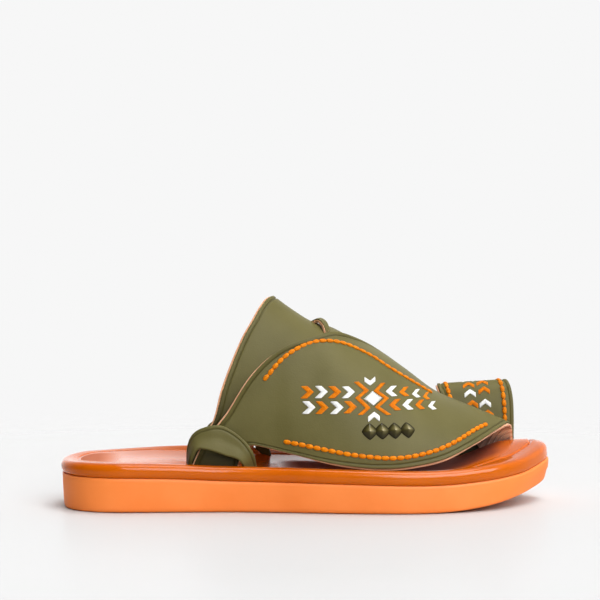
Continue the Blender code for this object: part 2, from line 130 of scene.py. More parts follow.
SOLE_ROWS = (0, 0.006, 0.013, 0.02, 0.035, 0.055, 0.08, 0.12, 0.18, 0.3, 0.45, 0.6, 0.75, 0.88, 0.96, 0.99, 1)


def lerp(start, end, share):
    return start + (end - start) * share


def clamp(value):
    return np.clip(value, 0.0, 1.0)


def cap(distance, length):
    """Half-width share near a rounded end: 0 at the tip, 1 once past the cap's length."""
    short = clamp(1.0 - distance / length)
    return (1.0 - short ** CAP_POWER) ** (1.0 / CAP_POWER)


def plan_edge(station, side):
    """Y of the sole's outline, side -1 the outer edge and 1 the inner edge."""
    outer = -PLAN.at("outer", station)
    inner = PLAN.at("inner", station)
    round_ends = cap(station - HEEL_EDGE, HEEL_CAP) * cap(SOLE_LENGTH - station, TOE_CAP)
    return (outer + inner) / 2 + side * round_ends * (inner - outer) / 2


def sole_outline():
    """Evenly spaced plan points from the heel along the outer edge to the toe, and back."""
    turns = np.linspace(0.0, math.pi, OUTLINE_PROBES)
    stations = lerp(HEEL_EDGE, SOLE_LENGTH, (1 - np.cos(turns)) / 2)
    sides = []
    for side in (-1, 1):
        y = plan_edge(stations, side)
        run = np.concatenate(([0.0], np.cumsum(np.hypot(np.diff(stations), np.diff(y)))))
        even = np.linspace(0.0, run[-1], OUTLINE_STEPS + 1)
        sides.append(np.stack((np.interp(even, run, stations), np.interp(even, run, y)), axis=1))
    return np.concatenate((sides[0], sides[1][-2:0:-1]))


def grown(ring, distance):
    """The ring with its points moved outwards in plan."""
    run = np.roll(ring, -1, axis=0) - np.roll(ring, 1, axis=0)
    run /= np.linalg.norm(run, axis=1, keepdims=True)
    outward = np.stack((run[:, 1], -run[:, 0]), axis=1)
    return ring + outward * np.broadcast_to(distance, len(ring))[:, None]


def ground(station):
    """Underside of the sole above the floor."""
    share = np.maximum(0.0, station - SPRING_START) / (SOLE_LENGTH - SPRING_START)
    return TOE_SPRING * share ** SPRING_POWER


def arch(station, y):
    """Rise of the inner side under the arch of the foot."""
    near = np.maximum(0.0, 1.0 - ((station - ARCH_STATION) / ARCH_REACH) ** 2)
    side = np.clip(y / ARCH_WIDTH, 0.0, ARCH_LIMIT)
    return ARCH_RISE * near * near * side * side


def sole_top(station, y):
    return ground(station) + SOLE_HEIGHT.at("height", station) + arch(station, y)


def tread(edge_station, station, y, share):
    """Underside with shallow zigzag waves that stop short of the edges."""
    zigzag = np.abs((y / TREAD_SWING) % 2.0 - 1.0) * TREAD_SWING * TREAD_SLANT
    wave = 0.5 + 0.5 * np.sin(2 * math.pi * (station + zigzag) / TREAD_PITCH)
    border = clamp(np.minimum(share, 1.0 - share) * TREAD_BORDER - 1.0)
    ends = clamp(np.minimum(station - TREAD_HEEL, SOLE_LENGTH - TREAD_TOE - station) / TREAD_FADE)
    return ground(edge_station) + TREAD_DEPTH * wave * border * ends


def add_object(name, data):
    """A new object at the scene's origin."""
    item = bpy.data.objects.new(name, data)
    bpy.context.scene.collection.objects.link(item)
    return item


def new_piece(name, points, faces, material):
    """A smooth mesh object from points in millimetres given as (station, y, z)."""
    mesh = bpy.data.meshes.new(name)
    moved = (np.asarray(points) - (SOLE_LENGTH / 2, 0.0, 0.0)) * MM
    mesh.from_pydata(moved.tolist(), [], faces)
    bm = bmesh.new()
    bm.from_mesh(mesh)
    bmesh.ops.recalc_face_normals(bm, faces=bm.faces)
    bm.to_mesh(mesh)
    bm.free()
    mesh.shade_smooth()
    mesh.materials.append(material)
    return add_object(name, mesh)


def ring_block(edge, rings, fills, columns):
    """A block whose side is a stack of rings round an edge, filled at both ends by heights across it."""
    count = len(rings[0])
    half = count // 2
    points = [np.concatenate(rings)]
    faces = []
    for r in range(len(rings) - 1):
        for i in range(count):
            j = (i + 1) % count
            faces.append((r * count + i, r * count + j, (r + 1) * count + j, (r + 1) * count + i))
    used = len(rings) * count
    share = np.arange(1, columns)[None, :] / columns
    for level, height in fills:
        ring = rings[level]
        base = (level % len(rings)) * count
        near = ring[1:half]
        far = ring[:half:-1]
        across = near[:, None, :] + (far - near)[:, None, :] * share[..., None]
        edge_station = lerp(edge[1:half, :1], edge[:half:-1, :1], share)
        across[..., 2] = height(edge_station, across[..., 0], across[..., 1], share)
        points.append(across.reshape(-1, 3))
        inner = used + np.arange((half - 1) * (columns - 1)).reshape(half - 1, columns - 1)
        used += inner.size
        step = np.arange(1, half)
        sides = ((base + step)[:, None], inner, (base + count - step)[:, None])
        rows = np.concatenate(sides, axis=1).tolist()
        for one, other in zip(rows, rows[1:]):
            faces.extend((one[k], one[k + 1], other[k + 1], other[k]) for k in range(columns))
        for tip, row in ((base, rows[0]), (base + half, rows[-1])):
            faces.extend((tip, row[k], row[k + 1]) for k in range(columns))
    return np.concatenate(points), faces


def new_material(name, roughness, specular=0.5):
    """A material with its shader ready for textures."""
    material = bpy.data.materials.new(name)
    material.use_nodes = True
    shader = material.node_tree.nodes["Principled BSDF"]
    shader.inputs["Roughness"].default_value = roughness
    shader.inputs["Specular IOR Level"].default_value = specular
    return material, material.node_tree, shader


def add_node(tree, kind, inputs, **settings):
    """A new node with its settings made, and its inputs set or linked."""
    node = tree.nodes.new(kind)
    for name, value in settings.items():
        setattr(node, name, value)
    for key, value in inputs.items():
        if isinstance(value, bpy.types.NodeSocket):
            tree.links.new(value, node.inputs[key])
        else:
            node.inputs[key].default_value = value
    return node


def noise(tree, scale, detail):
    """Cloudy noise laid over the piece, with its scale in waves to the metre."""
    coords = tree.nodes.new("ShaderNodeTexCoord")
    inputs = {"Vector": coords.outputs["Object"], "Scale": scale, "Detail": detail}
    return add_node(tree, "ShaderNodeTexNoise", inputs).outputs["Fac"]


def shades(tree, factor, *stops):
    """Colours set against a value, each stop a position and a linear colour."""
    ramp = add_node(tree, "ShaderNodeValToRGB", {"Fac": factor})
    steps = ramp.color_ramp.elements
    while len(steps) < len(stops):
        steps.new(0.5)
    for step, (position, colour) in zip(steps, stops):
        step.position = position
        step.color = (*colour, 1.0)
    return ramp.outputs["Color"]


def mottle(tree, shader, scale, detail, dark, light, spread=0.2):
    """Gives the shader two colours mixed by cloudy noise, and returns that noise."""
    cloud = noise(tree, scale, detail)
    colour = shades(tree, cloud, (0.5 - spread, dark), (0.5 + spread, light))
    tree.links.new(colour, shader.inputs["Base Color"])
    return cloud


def relief(tree, shader, height, depth):
    """Adds fine relief of a depth in millimetres to what the shader already has."""
    bump = add_node(tree, "ShaderNodeBump", {"Distance": depth * MM, "Height": height})
    normal = shader.inputs["Normal"]
    if normal.links:
        tree.links.new(normal.links[0].from_socket, bump.inputs["Normal"])
    tree.links.new(bump.outputs["Normal"], normal)


def vary_roughness(tree, shader, value, low, high):
    spread = add_node(tree, "ShaderNodeMapRange", {"Value": value, "To Min": low, "To Max": high})
    tree.links.new(spread.outputs["Result"], shader.inputs["Roughness"])


foam, tree, shader = new_material("orange_foam_rubber", 0.55, 0.2)
cloud = mottle(tree, shader, 28.0, 4.0, (0.90, 0.225, 0.036), (0.96, 0.262, 0.052), 0.15)
relief(tree, shader, noise(tree, 1500.0, 3.0), 0.06)
vary_roughness(tree, shader, cloud, 0.48, 0.62)

outline = sole_outline()
station = outline[:, 0]
toe = clamp((station - TOE_ROUND_START) / TOE_ROUND_LENGTH) ** 2
heel = clamp(1.0 - station / HEEL_SWELL_END)
rings = []
for share in SOLE_ROWS:
    top_round = TOP_ROUND * max(0.0, share - TOP_ROUND_START) / TOP_ROUND_SPAN
    top_round = top_round + TOP_ROUND * toe * max(0.0, share - TOE_TOP_START) ** 2 / TOP_ROUND_SPAN
    spread = 1.0 + TOE_DRAFT * toe * (share < TOE_DRAFT_TOP) - HEEL_DRAFT * heel
    inset = SOLE_WALL.at("inset", share) * spread + top_round - HEEL_SWELL * heel
    ring = grown(outline, -inset)
    height = lerp(ground(station), sole_top(station, ring[:, 1]), share)
    rings.append(np.column_stack((ring, height)))
fills = ((0, tread), (-1, lambda edge_station, station, y, share: sole_top(edge_station, y)))
points, faces = ring_block(outline, rings, fills, SOLE_COLUMNS)
sole = new_piece("foam_sole", points, faces, foam)
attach(sole, "root")
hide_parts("sole")

# Footbed
# A padded insole board wrapped in glossy orange leather, with a rolled rim that stands over the sole's edge.
# The leather is drawn over the rim, gathered at the toe and heel, and creased where the padding starts.
FOOTBED_GAP = 0.3
FOOTBED_COLUMNS = 30
TOE_DRAW = 2.7
TOE_SQUARE = 1.7
CREASE_PLACE = 8.4
CREASE_WIDTH = 0.7
CREASE_DEPTH = 0.6
TOE_CREASE = 1.6
GATHER_PITCH = 4.4
GATHER_DEPTH = 0.16
GATHER_PLACE = 6.4
GATHER_WIDTH = 1.9
GATHER_SWAY = 1.7
GATHER_SWAY_LENGTH = 9.0
HEEL_GATHER = 0.6
HEEL_GATHER_END = 34.0
CREST_ROW = 5.0
PAD_START = 225.0
PAD_END = 265.0
HEEL_ROUND = 16.0
HEEL_DIP = 0.16
HEEL_FILL = 0.75
HEEL_FILL_END = 84.0
HEEL_FILL_FADE = 30.0
# Zones made rougher and also painted darker as shade: under the wing at the toe, in a strip along the outer
# rim, and in the heel.
RUB_AND_SHADE_START = 174.0
RUB_AND_SHADE_END = 266.0
RUB_AND_SHADE_FADE = 14.0
RUB_AND_SHADE_REAR = 126.0
RUB_AND_SHADE_SIDE = 16.0
RUB_AND_SHADE_SIDE_FADE = 8.0
RUB_AND_SHADE_BORDER = 0.12
RUB_ROUGHNESS = 0.9
HEEL_RUB_AND_SHADE = 0.6
HEEL_RUB_AND_SHADE_END = 36.0
# Painted shade on the insole's upward faces, so that the top reads darker than the lamps make it.
TOP_PAINTED_SHADE = 0.34
TOP_PAINTED_SHADE_START = 0.6
TOP_PAINTED_SHADE_SPAN = 0.3
MIX_COLOURS = (6, 7)
MIX_RESULT = 2
RIM_ROLL = Table(
    ("row", "overhang", "rise", "toe_rise"),
    (
        (0, -0.5, 0.0, 0.0), (1, 0.8, 1.2, 1.3), (2, 1.4, 3.6, 3.8), (3, 1.1, 6.0, 6.2), (4, -0.2, 7.7, 7.9),
        (5, -2.6, 8.3, 8.7), (6, -4.8, 7.8, 9.0), (7, -7.2, 6.7, 9.3), (8, -10.0, 6.2, 9.8),
    ),
)
RIM_ROWS = np.concatenate((np.linspace(0.0, 5.6, 24), np.linspace(5.8, 8.0, 26)))


def footbed_base(station, y):
    return sole_top(station, y) + FOOTBED_GAP


def drawn_back(station):
    """How far the rim has drawn back from the sole's edge: 0 along the sides, 1 at the toe."""
    share = np.maximum(0.0, 1.0 - (SOLE_LENGTH - station) / TOE_CAP)
    return share * share


def rim_base(row, edge_station, station, y):
    """What the rim stands on: the sole under its foot, and the sole's edge from the crest inwards."""
    return lerp(footbed_base(station, y), footbed_base(edge_station, y), min(1.0, row / CREST_ROW))


def rim_rise(row, station):
    """Height of the rolled rim, which runs up on to a thicker pad at the toe and dips round the heel."""
    share = clamp((station - PAD_START) / (PAD_END - PAD_START))
    thick = share * share * (3.0 - 2.0 * share)
    heel = clamp(1.0 - station / HEEL_ROUND) ** 2
    rise = RIM_ROLL.between("rise", "toe_rise", row, thick)
    fill = HEEL_FILL * clamp((HEEL_FILL_END - station) / HEEL_FILL_FADE) * (row > CREST_ROW)
    return lerp(rise, RIM_ROLL.at("rise", CREST_ROW), fill) * (1.0 - HEEL_DIP * heel)


def insole_top(edge_station, station, y, share):
    """Top of the padded insole, dished between its rims."""
    dish = SOLE_HEIGHT.at("dish", edge_station) * (1.0 - (2.0 * share - 1.0) ** 2)
    return footbed_base(edge_station, y) + rim_rise(RIM_ROLL.keys[-1], edge_station) - dish


def distances(track):
    """How far along a line of points each of them lies."""
    return np.concatenate(([0.0], np.cumsum(np.linalg.norm(np.diff(track, axis=0), axis=1))))


def hump(value, place, width):
    """A soft hump of height 1 round a place."""
    return np.exp(-((value - place) / width) ** 2)


def gathers(station, run, overhang):
    """Small folds of the leather across the rim, strongest round the toe and the heel."""
    ends = drawn_back(station) + clamp(1.0 - station / HEEL_GATHER_END) ** 2 * HEEL_GATHER
    fold = np.sin(2 * math.pi * run / GATHER_PITCH + GATHER_SWAY * np.sin(run / GATHER_SWAY_LENGTH))
    return GATHER_DEPTH * ends * fold * hump(overhang, -GATHER_PLACE, GATHER_WIDTH)


def pebbles(tree, scale):
    """Small cells laid over the piece, for the grain of leather."""
    coords = tree.nodes.new("ShaderNodeTexCoord")
    inputs = {"Vector": coords.outputs["Object"], "Scale": scale}
    return add_node(tree, "ShaderNodeTexVoronoi", inputs).outputs["Distance"]


def point_value(tree, name):
    """A value that a piece carries at its points."""
    return add_node(tree, "ShaderNodeAttribute", {}, attribute_name=name).outputs["Fac"]


def darken(tree, shader, name, deep):
    """Paints shade: turns the shader's colour into a deeper one by a value that the piece carries."""
    base = shader.inputs["Base Color"]
    one, other = MIX_COLOURS
    inputs = {"Factor": point_value(tree, name), one: base.links[0].from_socket, other: (*deep, 1.0)}
    mix = add_node(tree, "ShaderNodeMix", inputs, data_type="RGBA")
    tree.links.new(mix.outputs[MIX_RESULT], base)


def give_values(piece, name, values):
    """Stores a value at each point of a piece, for its material."""
    layers = piece.data.attributes
    layer = layers.get(name) or layers.new(name, "FLOAT", "POINT")
    layer.data.foreach_set("value", np.asarray(values, dtype=np.float32))


insole, tree, shader = new_material("glossy_orange_leather", 0.16, 0.18)
cloud = mottle(tree, shader, 22.0, 5.0, (0.54, 0.098, 0.001), (0.62, 0.126, 0.002))
# Painted shade: the colour goes deeper by the value the footbed carries, under the wing, along the outer rim,
# in the heel and on upward faces.
darken(tree, shader, "painted_shade", (0.19, 0.026, 0.0))
relief(tree, shader, pebbles(tree, 900.0), 0.02)
relief(tree, shader, noise(tree, 70.0, 2.0), 0.22)
vary_roughness(tree, shader, cloud, 0.10, 0.18)
gloss = shader.inputs["Roughness"].links[0].from_socket
inputs = {"Factor": point_value(tree, "rub"), "A": gloss, "B": RUB_ROUGHNESS}
matt = add_node(tree, "ShaderNodeMix", inputs)
tree.links.new(matt.outputs["Result"], shader.inputs["Roughness"])

run = distances(outline)
drawn = drawn_back(station)
rings = []
for row in RIM_ROWS:
    overhang = RIM_ROLL.at("overhang", row)
    square = TOE_SQUARE * drawn * max(0.0, 1.0 - row / 2.0)
    ring = grown(outline, overhang + square - TOE_DRAW * drawn)
    depth = CREASE_DEPTH * (1.0 + TOE_CREASE * drawn)
    groove = depth * hump(overhang, -CREASE_PLACE, CREASE_WIDTH)
    height = rim_base(row, station, ring[:, 0], ring[:, 1]) + rim_rise(row, station)
    rings.append(np.column_stack((ring, height - groove + gathers(station, run, overhang))))
fills = ((0, lambda edge_station, station, y, share: footbed_base(station, y)), (-1, insole_top))
points, faces = ring_block(outline, rings, fills, FOOTBED_COLUMNS)
footbed = new_piece("padded_footbed", points, faces, insole)
# The rough zones also get painted shade, and the upward faces get painted shade by how far their normals
# point up.
top_points = points[-(OUTLINE_STEPS - 1) * (FOOTBED_COLUMNS - 1):]
place = top_points[:, 0].reshape(OUTLINE_STEPS - 1, -1)
aside = top_points[:, 1].reshape(OUTLINE_STEPS - 1, -1)
share = np.arange(1, FOOTBED_COLUMNS) / FOOTBED_COLUMNS
border = clamp(np.minimum(share, 1.0 - share) / RUB_AND_SHADE_BORDER)
toes = clamp(np.minimum(place - RUB_AND_SHADE_START, RUB_AND_SHADE_END - place) / RUB_AND_SHADE_FADE)
outer = clamp((RUB_AND_SHADE_SIDE - aside) / RUB_AND_SHADE_SIDE_FADE)
outer *= clamp(np.minimum(place - RUB_AND_SHADE_REAR, RUB_AND_SHADE_END - place) / RUB_AND_SHADE_FADE)
heel = HEEL_RUB_AND_SHADE * clamp((HEEL_RUB_AND_SHADE_END - place) / RUB_AND_SHADE_FADE)
rubbed_and_shaded = np.zeros(len(points), dtype=np.float32)
rubbed_and_shaded[-place.size:] = ((np.maximum(toes, outer) + heel) * border).ravel()
upright = np.empty((len(points), 3), dtype=np.float32)
footbed.data.vertex_normals.foreach_get("vector", upright.ravel())
painted_shade = TOP_PAINTED_SHADE * clamp((upright[:, 2] - TOP_PAINTED_SHADE_START) / TOP_PAINTED_SHADE_SPAN)
give_values(footbed, "rub", rubbed_and_shaded)
give_values(footbed, "painted_shade", np.maximum(rubbed_and_shaded, painted_shade))
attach(footbed, "root")
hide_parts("footbed")

# Instep band
# A broad band of smooth olive leather over the instep, backed with pinkish suede and skived at its cut edges.
# Its tails go down through the footbed at both keepers, and the outer wing is stitched on over it.
BAND_RIBS = 190
BAND_COLUMNS = 30
BAND_LIFT = 0.0
BAND_SHOW = 0.5
BAND_SHOW_ROW = 4.5
BAND_SHOW_WIDTH = 2.5
LEATHER_TOP = 2.0
LEATHER_BACK = 0.8
LINING_MARGIN = 0.7
LINING_ROUND = 0.25
EDGE_ROUND = 0.5
EDGE_CREASE = 2.4
EDGE_CREASE_WIDTH = 0.45
EDGE_CREASE_DEPTH = 0.5
# Painted shade in the crease line along the cut edges.
CREASE_PAINTED_SHADE = 0.5
CREASE_PAINTED_SHADE_WIDTH = 0.5
EDGE_SHARE = 2.6
PROBE_POINTS = 41
SHARP_ANGLE = math.radians(48.0)
# Painted shade low on the outer tails inside the keeper, and in the fold behind the wing.
PAINTED_SHADE_TOP = 39.0
PAINTED_SHADE_FADE = 6.0
PAINTED_SHADE_FRONT = 116.0
PAINTED_SHADE_FRONT_FADE = 8.0
FOLD_TOP = 80.0
FOLD_FADE = 28.0
FOLD_PAINTED_SHADE = 0.9
# Painted shade on the suede down inside the toe arch.
ARCH_PAINTED_SHADE_TOP = 41.0
ARCH_PAINTED_SHADE_FADE = 5.0
ARCH_PAINTED_SHADE_REAR = 205.0
ARCH_PAINTED_SHADE_REACH = 20.0
ARCH_PAINTED_SHADE_SIDE = 20.0
CLEAR_EDGE = 1.1
CLEAR_FADE = 0.8
EDGE_STEPS = np.array((0.0, 0.06, 0.16, 0.32, 0.55, 0.9, 1.3, 1.7, 2.0, 2.25, 2.5, 2.75, 3.1, 3.6, 4.6))
LAST = Table(
    ("station", "top_y", "top_z", "outer", "inner", "floor"),
    (
        (70, 0.0, 162.0, -30.5, 28.0, 24.0), (88, 0.5, 151.0, -30.5, 28.0, 23.6),
        (100, 1.2, 140.5, -30.7, 28.0, 23.3), (112, 2.0, 130.5, -32.0, 28.2, 23.2),
        (124, 3.0, 120.3, -34.2, 30.0, 23.0), (134, 4.0, 112.8, -37.0, 32.5, 23.0),
        (146, 5.0, 105.3, -39.5, 35.0, 23.0), (158, 6.0, 101.6, -41.7, 37.0, 22.8),
        (170, 8.0, 95.0, -43.2, 39.0, 22.6), (188, 10.0, 85.1, -43.6, 42.0, 22.3),
        (200, 11.0, 76.7, -42.6, 43.5, 22.4), (218, 11.0, 63.3, -38.0, 43.5, 22.8),
        (232, 9.8, 57.0, -31.5, 42.0, 23.4), (245, 9.0, 51.7, -21.5, 38.0, 24.8),
        (258, 8.5, 46.2, -6.0, 34.0, 27.0), (270, 8.5, 41.0, 4.0, 32.0, 29.4),
    ),
)
INSTEP_BAND = Table(
    ("row", "rear_station", "rear_girth", "front_station", "front_girth"),
    (
        (0, 76.6, -93.6, 102.0, -93.6), (1, 76.6, -90.0, 102.0, -90.0), (2, 77.0, -84.0, 107.0, -79.0),
        (3, 88.3, -77.7, 115.0, -73.0), (4, 93.9, -68.0, 124.0, -62.0), (5, 99.6, -58.5, 136.0, -50.0),
        (6, 105.6, -48.0, 152.0, -36.0), (7, 112.6, -35.0, 172.0, -20.0), (8, 118.8, -18.0, 195.0, -6.0),
        (9, 123.2, 0.0, 211.0, 6.0), (10, 121.5, 18.0, 216.0, 22.0), (11, 117.5, 35.0, 218.0, 46.0),
        (12, 112.5, 48.0, 215.0, 70.0), (13, 108.0, 58.5, 202.0, 85.0), (14, 103.0, 68.0, 176.0, 85.6),
        (15, 98.3, 77.7, 146.0, 83.6), (16, 94.0, 84.0, 118.0, 80.8), (17, 90.0, 90.0, 112.0, 90.0),
        (18, 90.0, 91.2, 112.0, 91.2),
    ),
)


def points_of(station, y, z):
    """Points from their three values, each stretched to one shape."""
    return np.stack(np.broadcast_arrays(station, y, z), axis=-1)


def last_point(station, girth, inner_reach):
    """A point on the last, whose sections are two quarter ovals on straight sides."""
    top_y = LAST.at("top_y", station)
    top_z = LAST.at("top_z", station)
    floor = LAST.at("floor", station)
    reach = np.where(girth > 0, inner_reach(station), LAST.at("outer", station) - top_y)
    turn = np.radians(np.minimum(np.abs(girth), 90.0))
    below = np.maximum(0.0, np.abs(girth) - 90.0)
    y = top_y + reach * np.sin(turn)
    z = lerp(floor, top_z, np.cos(turn)) - below
    return points_of(station, y, z)


def foot_reach(station):
    return LAST.at("inner", station) - LAST.at("top_y", station)


def strap_surface(table, one, other, inner_reach):
    """The part of the last under a strap, by its share along the strap and its share across."""
    def surface(along, across):
        row = along * table.keys[-1]
        station = table.between(one + "_station", other + "_station", row, across)
        girth = table.between(one + "_girth", other + "_girth", row, across)
        return last_point(station, girth, inner_reach)
    return surface


def off_surface(surface, along, across, lift, step=0.002):
    """Points at a distance off a surface, square to it."""
    run = surface(along + step, across) - surface(along - step, across)
    rise = surface(along, across + step) - surface(along, across - step)
    out = np.cross(run, rise)
    out /= np.linalg.norm(out, axis=-1, keepdims=True)
    return surface(along, across) + out * np.asarray(lift)[..., None]


def across_shares(surface, along, margin, middle, height):
    """Shares across a strap, crowded along its cut edges, and distances from the nearer edge."""
    probe = np.linspace(0.0, 1.0, PROBE_POINTS)
    guide = off_surface(surface, along[:, None], probe[None, :], height)
    hops = np.linalg.norm(np.diff(guide, axis=1), axis=2)
    run = np.concatenate((np.zeros((len(along), 1)), np.cumsum(hops, axis=1)), axis=1)
    shares = []
    edges = []
    margin = np.asarray(margin, dtype=float)
    pairs = np.broadcast_to(margin if margin.ndim == 2 else margin.reshape(-1, 1), (len(run), 2))
    for line, (first, last) in zip(run, pairs):
        width = line[-1]
        full = width + first + last
        steps = EDGE_STEPS * min(1.0, full / (EDGE_SHARE * EDGE_STEPS[-1]))
        inside = np.linspace(steps[-1], full - steps[-1], middle + 2)[1:-1]
        from_edge = np.concatenate((steps, inside, full - steps[::-1]))
        placed = from_edge - first
        share = np.interp(placed, line, probe)
        share = np.where(placed < 0, placed * probe[1] / line[1], share)
        past = 1.0 + (placed - width) * probe[1] / (width - line[-2])
        shares.append(np.where(placed > width, past, share))
        edges.append(np.minimum(from_edge, full - from_edge))
    return np.array(shares), np.array(edges)


def rounded_edge(distance, radius):
    """Drop of a surface towards a rounded cut edge."""
    inside = clamp(1.0 - distance / radius)
    return radius * (1.0 - np.sqrt(1.0 - inside * inside))


def sheet_piece(name, surface, along, across, high, low, material):
    """A closed sheet between two heights off a surface, and its points in millimetres."""
    outer = off_surface(surface, along[:, None], across, high)
    inner = off_surface(surface, along[:, None], across, low)
    points = np.concatenate((outer.reshape(-1, 3), inner.reshape(-1, 3)))
    top = np.arange(across.size).reshape(across.shape)
    back = top + across.size
    faces = []
    for grid in (top, back):
        corners = (grid[:-1, :-1], grid[:-1, 1:], grid[1:, 1:], grid[1:, :-1])
        faces.extend(np.stack(corners, axis=-1).reshape(-1, 4).tolist())
    rims = ((top[:, 0], back[:, 0]), (top[:, -1], back[:, -1]), (top[0], back[0]), (top[-1], back[-1]))
    for one, other in rims:
        faces.extend(np.stack((one[:-1], one[1:], other[1:], other[:-1]), axis=-1).tolist())
    return new_piece(name, points, faces, material), points


def arch_painted_shade(points):
    """Painted shade: darker suede down inside the toe arch, where the wing shades it."""
    low = clamp((ARCH_PAINTED_SHADE_TOP - points[:, 2]) / ARCH_PAINTED_SHADE_FADE)
    return low * clamp((points[:, 0] - ARCH_PAINTED_SHADE_REAR) / ARCH_PAINTED_SHADE_REACH) * (points[:, 1] < ARCH_PAINTED_SHADE_SIDE)


def tail_painted_shade(points):
    """Painted shade: darker leather on the outer tails, down in the keeper where it shades them."""
    low = clamp((PAINTED_SHADE_TOP - points[:, 2]) / PAINTED_SHADE_FADE)
    behind = clamp((PAINTED_SHADE_FRONT - points[:, 0]) / PAINTED_SHADE_FRONT_FADE)
    return low * behind * (points[:, 1] < 0.0)


def fold_painted_shade(points):
    """Painted shade: darker band in the narrow fold between its rear edge and the wing, where the wing shades
    it, and on its outer tail.
    """
    low = clamp((FOLD_TOP - points[:, 2]) / FOLD_FADE)
    return np.maximum(tail_painted_shade(points), FOLD_PAINTED_SHADE * low * (points[:, 1] < 0.0))


def strap_layers(
    name, surface, ribs, middle, lift, leather, lining, raised=None, margin=LINING_MARGIN, pleats=None,
    leather_painted_shade=tail_painted_shade, lining_painted_shade=arch_painted_shade
):
    """The leather of a strap and the suede lining behind it, which shows as a thin line at the cut edge; both
    carry a value of painted shade.
    """
    along = np.linspace(0.0, 1.0, ribs + 1)
    pieces = []
    for part, finish, low, high, spare, radius in (
        (name + "_leather", leather, LEATHER_BACK, LEATHER_TOP, 0.0, EDGE_ROUND),
        (name + "_lining", lining, 0.0, LEATHER_BACK, margin, LINING_ROUND),
    ):
        across, edge = across_shares(surface, along, spare, middle, lift + high)
        extra = raised(along[:, None], across) if raised else np.zeros_like(across)
        drop = rounded_edge(edge, radius)
        if finish is leather:
            drop = drop + EDGE_CREASE_DEPTH * hump(edge, EDGE_CREASE, EDGE_CREASE_WIDTH)
        fold = pleats(along[:, None], across) if pleats and finish is lining else 0.0
        face = lift + high - drop + extra
        back = lift + low + extra - fold
        piece, points = sheet_piece(part, surface, along, across, face, back, finish)
        piece.data.set_sharp_from_angle(angle=SHARP_ANGLE)
        # Painted shade along the leather's crease line, plus the strap's own mask of painted shade.
        if finish is leather:
            painted_crease_shade = CREASE_PAINTED_SHADE * hump(edge, EDGE_CREASE, CREASE_PAINTED_SHADE_WIDTH).ravel()
            painted_darkening = np.maximum(leather_painted_shade(points), np.concatenate((painted_crease_shade, np.zeros(edge.size))))
        else:
            clear = np.where(across < 0.5, clamp((edge - CLEAR_EDGE) / CLEAR_FADE), 1.0)
            painted_darkening = lining_painted_shade(points) * np.tile(clear.ravel(), 2)
        give_values(piece, "painted_darkening", painted_darkening)
        pieces.append(piece)
    return pieces


olive, tree, shader = new_material("olive_strap_leather", 0.5, 0.07)
cloud = mottle(tree, shader, 30.0, 6.0, (0.107, 0.093, 0.028), (0.134, 0.117, 0.039))
# Painted shade: deeper olive by the value each piece carries, where shadow falls on it.
darken(tree, shader, "painted_darkening", (0.030, 0.024, 0.004))
relief(tree, shader, pebbles(tree, 1100.0), 0.03)
relief(tree, shader, noise(tree, 260.0, 4.0), 0.08)
vary_roughness(tree, shader, cloud, 0.42, 0.56)

suede, tree, shader = new_material("tan_suede_lining", 0.85)
mottle(tree, shader, 120.0, 6.0, (0.60, 0.27, 0.12), (0.76, 0.39, 0.20))
# Painted shade: deeper suede by the value each piece carries, where shadow falls on it.
darken(tree, shader, "painted_darkening", (0.16, 0.05, 0.012))
relief(tree, shader, noise(tree, 2600.0, 3.0), 0.12)
shader.inputs["Sheen Weight"].default_value = 0.3
shader.inputs["Sheen Roughness"].default_value = 0.5

band_surface = strap_surface(INSTEP_BAND, "front", "rear", foot_reach)
band_rows = np.linspace(0.0, INSTEP_BAND.keys[-1], BAND_RIBS + 1)
band_margin = LINING_MARGIN + BAND_SHOW * hump(band_rows, BAND_SHOW_ROW, BAND_SHOW_WIDTH)
for piece in strap_layers(
    "instep_band", band_surface, BAND_RIBS, BAND_COLUMNS, BAND_LIFT, olive, suede, None, band_margin,
    leather_painted_shade=fold_painted_shade, lining_painted_shade=tail_painted_shade
):
    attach(piece, "root")
    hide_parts("upper")

# Outer wing
# The main outer strap, of the same lined olive leather, with a creased line along both cut edges.
# It runs from the outer keeper over the band and the toes to a post between the big toe and the next one.
WING_RIBS = 230
WING_COLUMNS = 36
WING_LIFT = 1.0
WING_FACE = WING_LIFT + LEATHER_TOP
POST_REACH = 3.0
STAND_OFF = 1.8
STAND_OFF_EDGE = 0.91
STAND_OFF_WIDTH = 0.09
STAND_OFF_LEAST = 0.56
STAND_OFF_GAIN = 0.44
STAND_OFF_START = 1.6
STAND_OFF_END = 8.6
STAND_OFF_FADE = 1.4
PLEAT_DEPTH = 0.8
PLEAT_START = 12.2
PLEAT_START_FADE = 0.8
PLEAT_END = 15.4
PLEAT_END_FADE = 0.6
PLEAT_RATE = 2.6
PLEAT_SLANT = 0.7
ARCH_SHOW = 0.7
ARCH_SHOW_ROW = 13.2
ARCH_SHOW_WIDTH = 1.1
TAIL_SHOW = 0.15
TAIL_SHOW_ROW = 3.4
TAIL_SHOW_WIDTH = 1.3
CROSSING_START = 5.0
CROSSING_START_FADE = 0.8
CROSSING_END = 10.4
CROSSING_END_FADE = 1.2
LOW_EDGE_SHOW = 0.45
TOP_EDGE_HIDE = 0.65
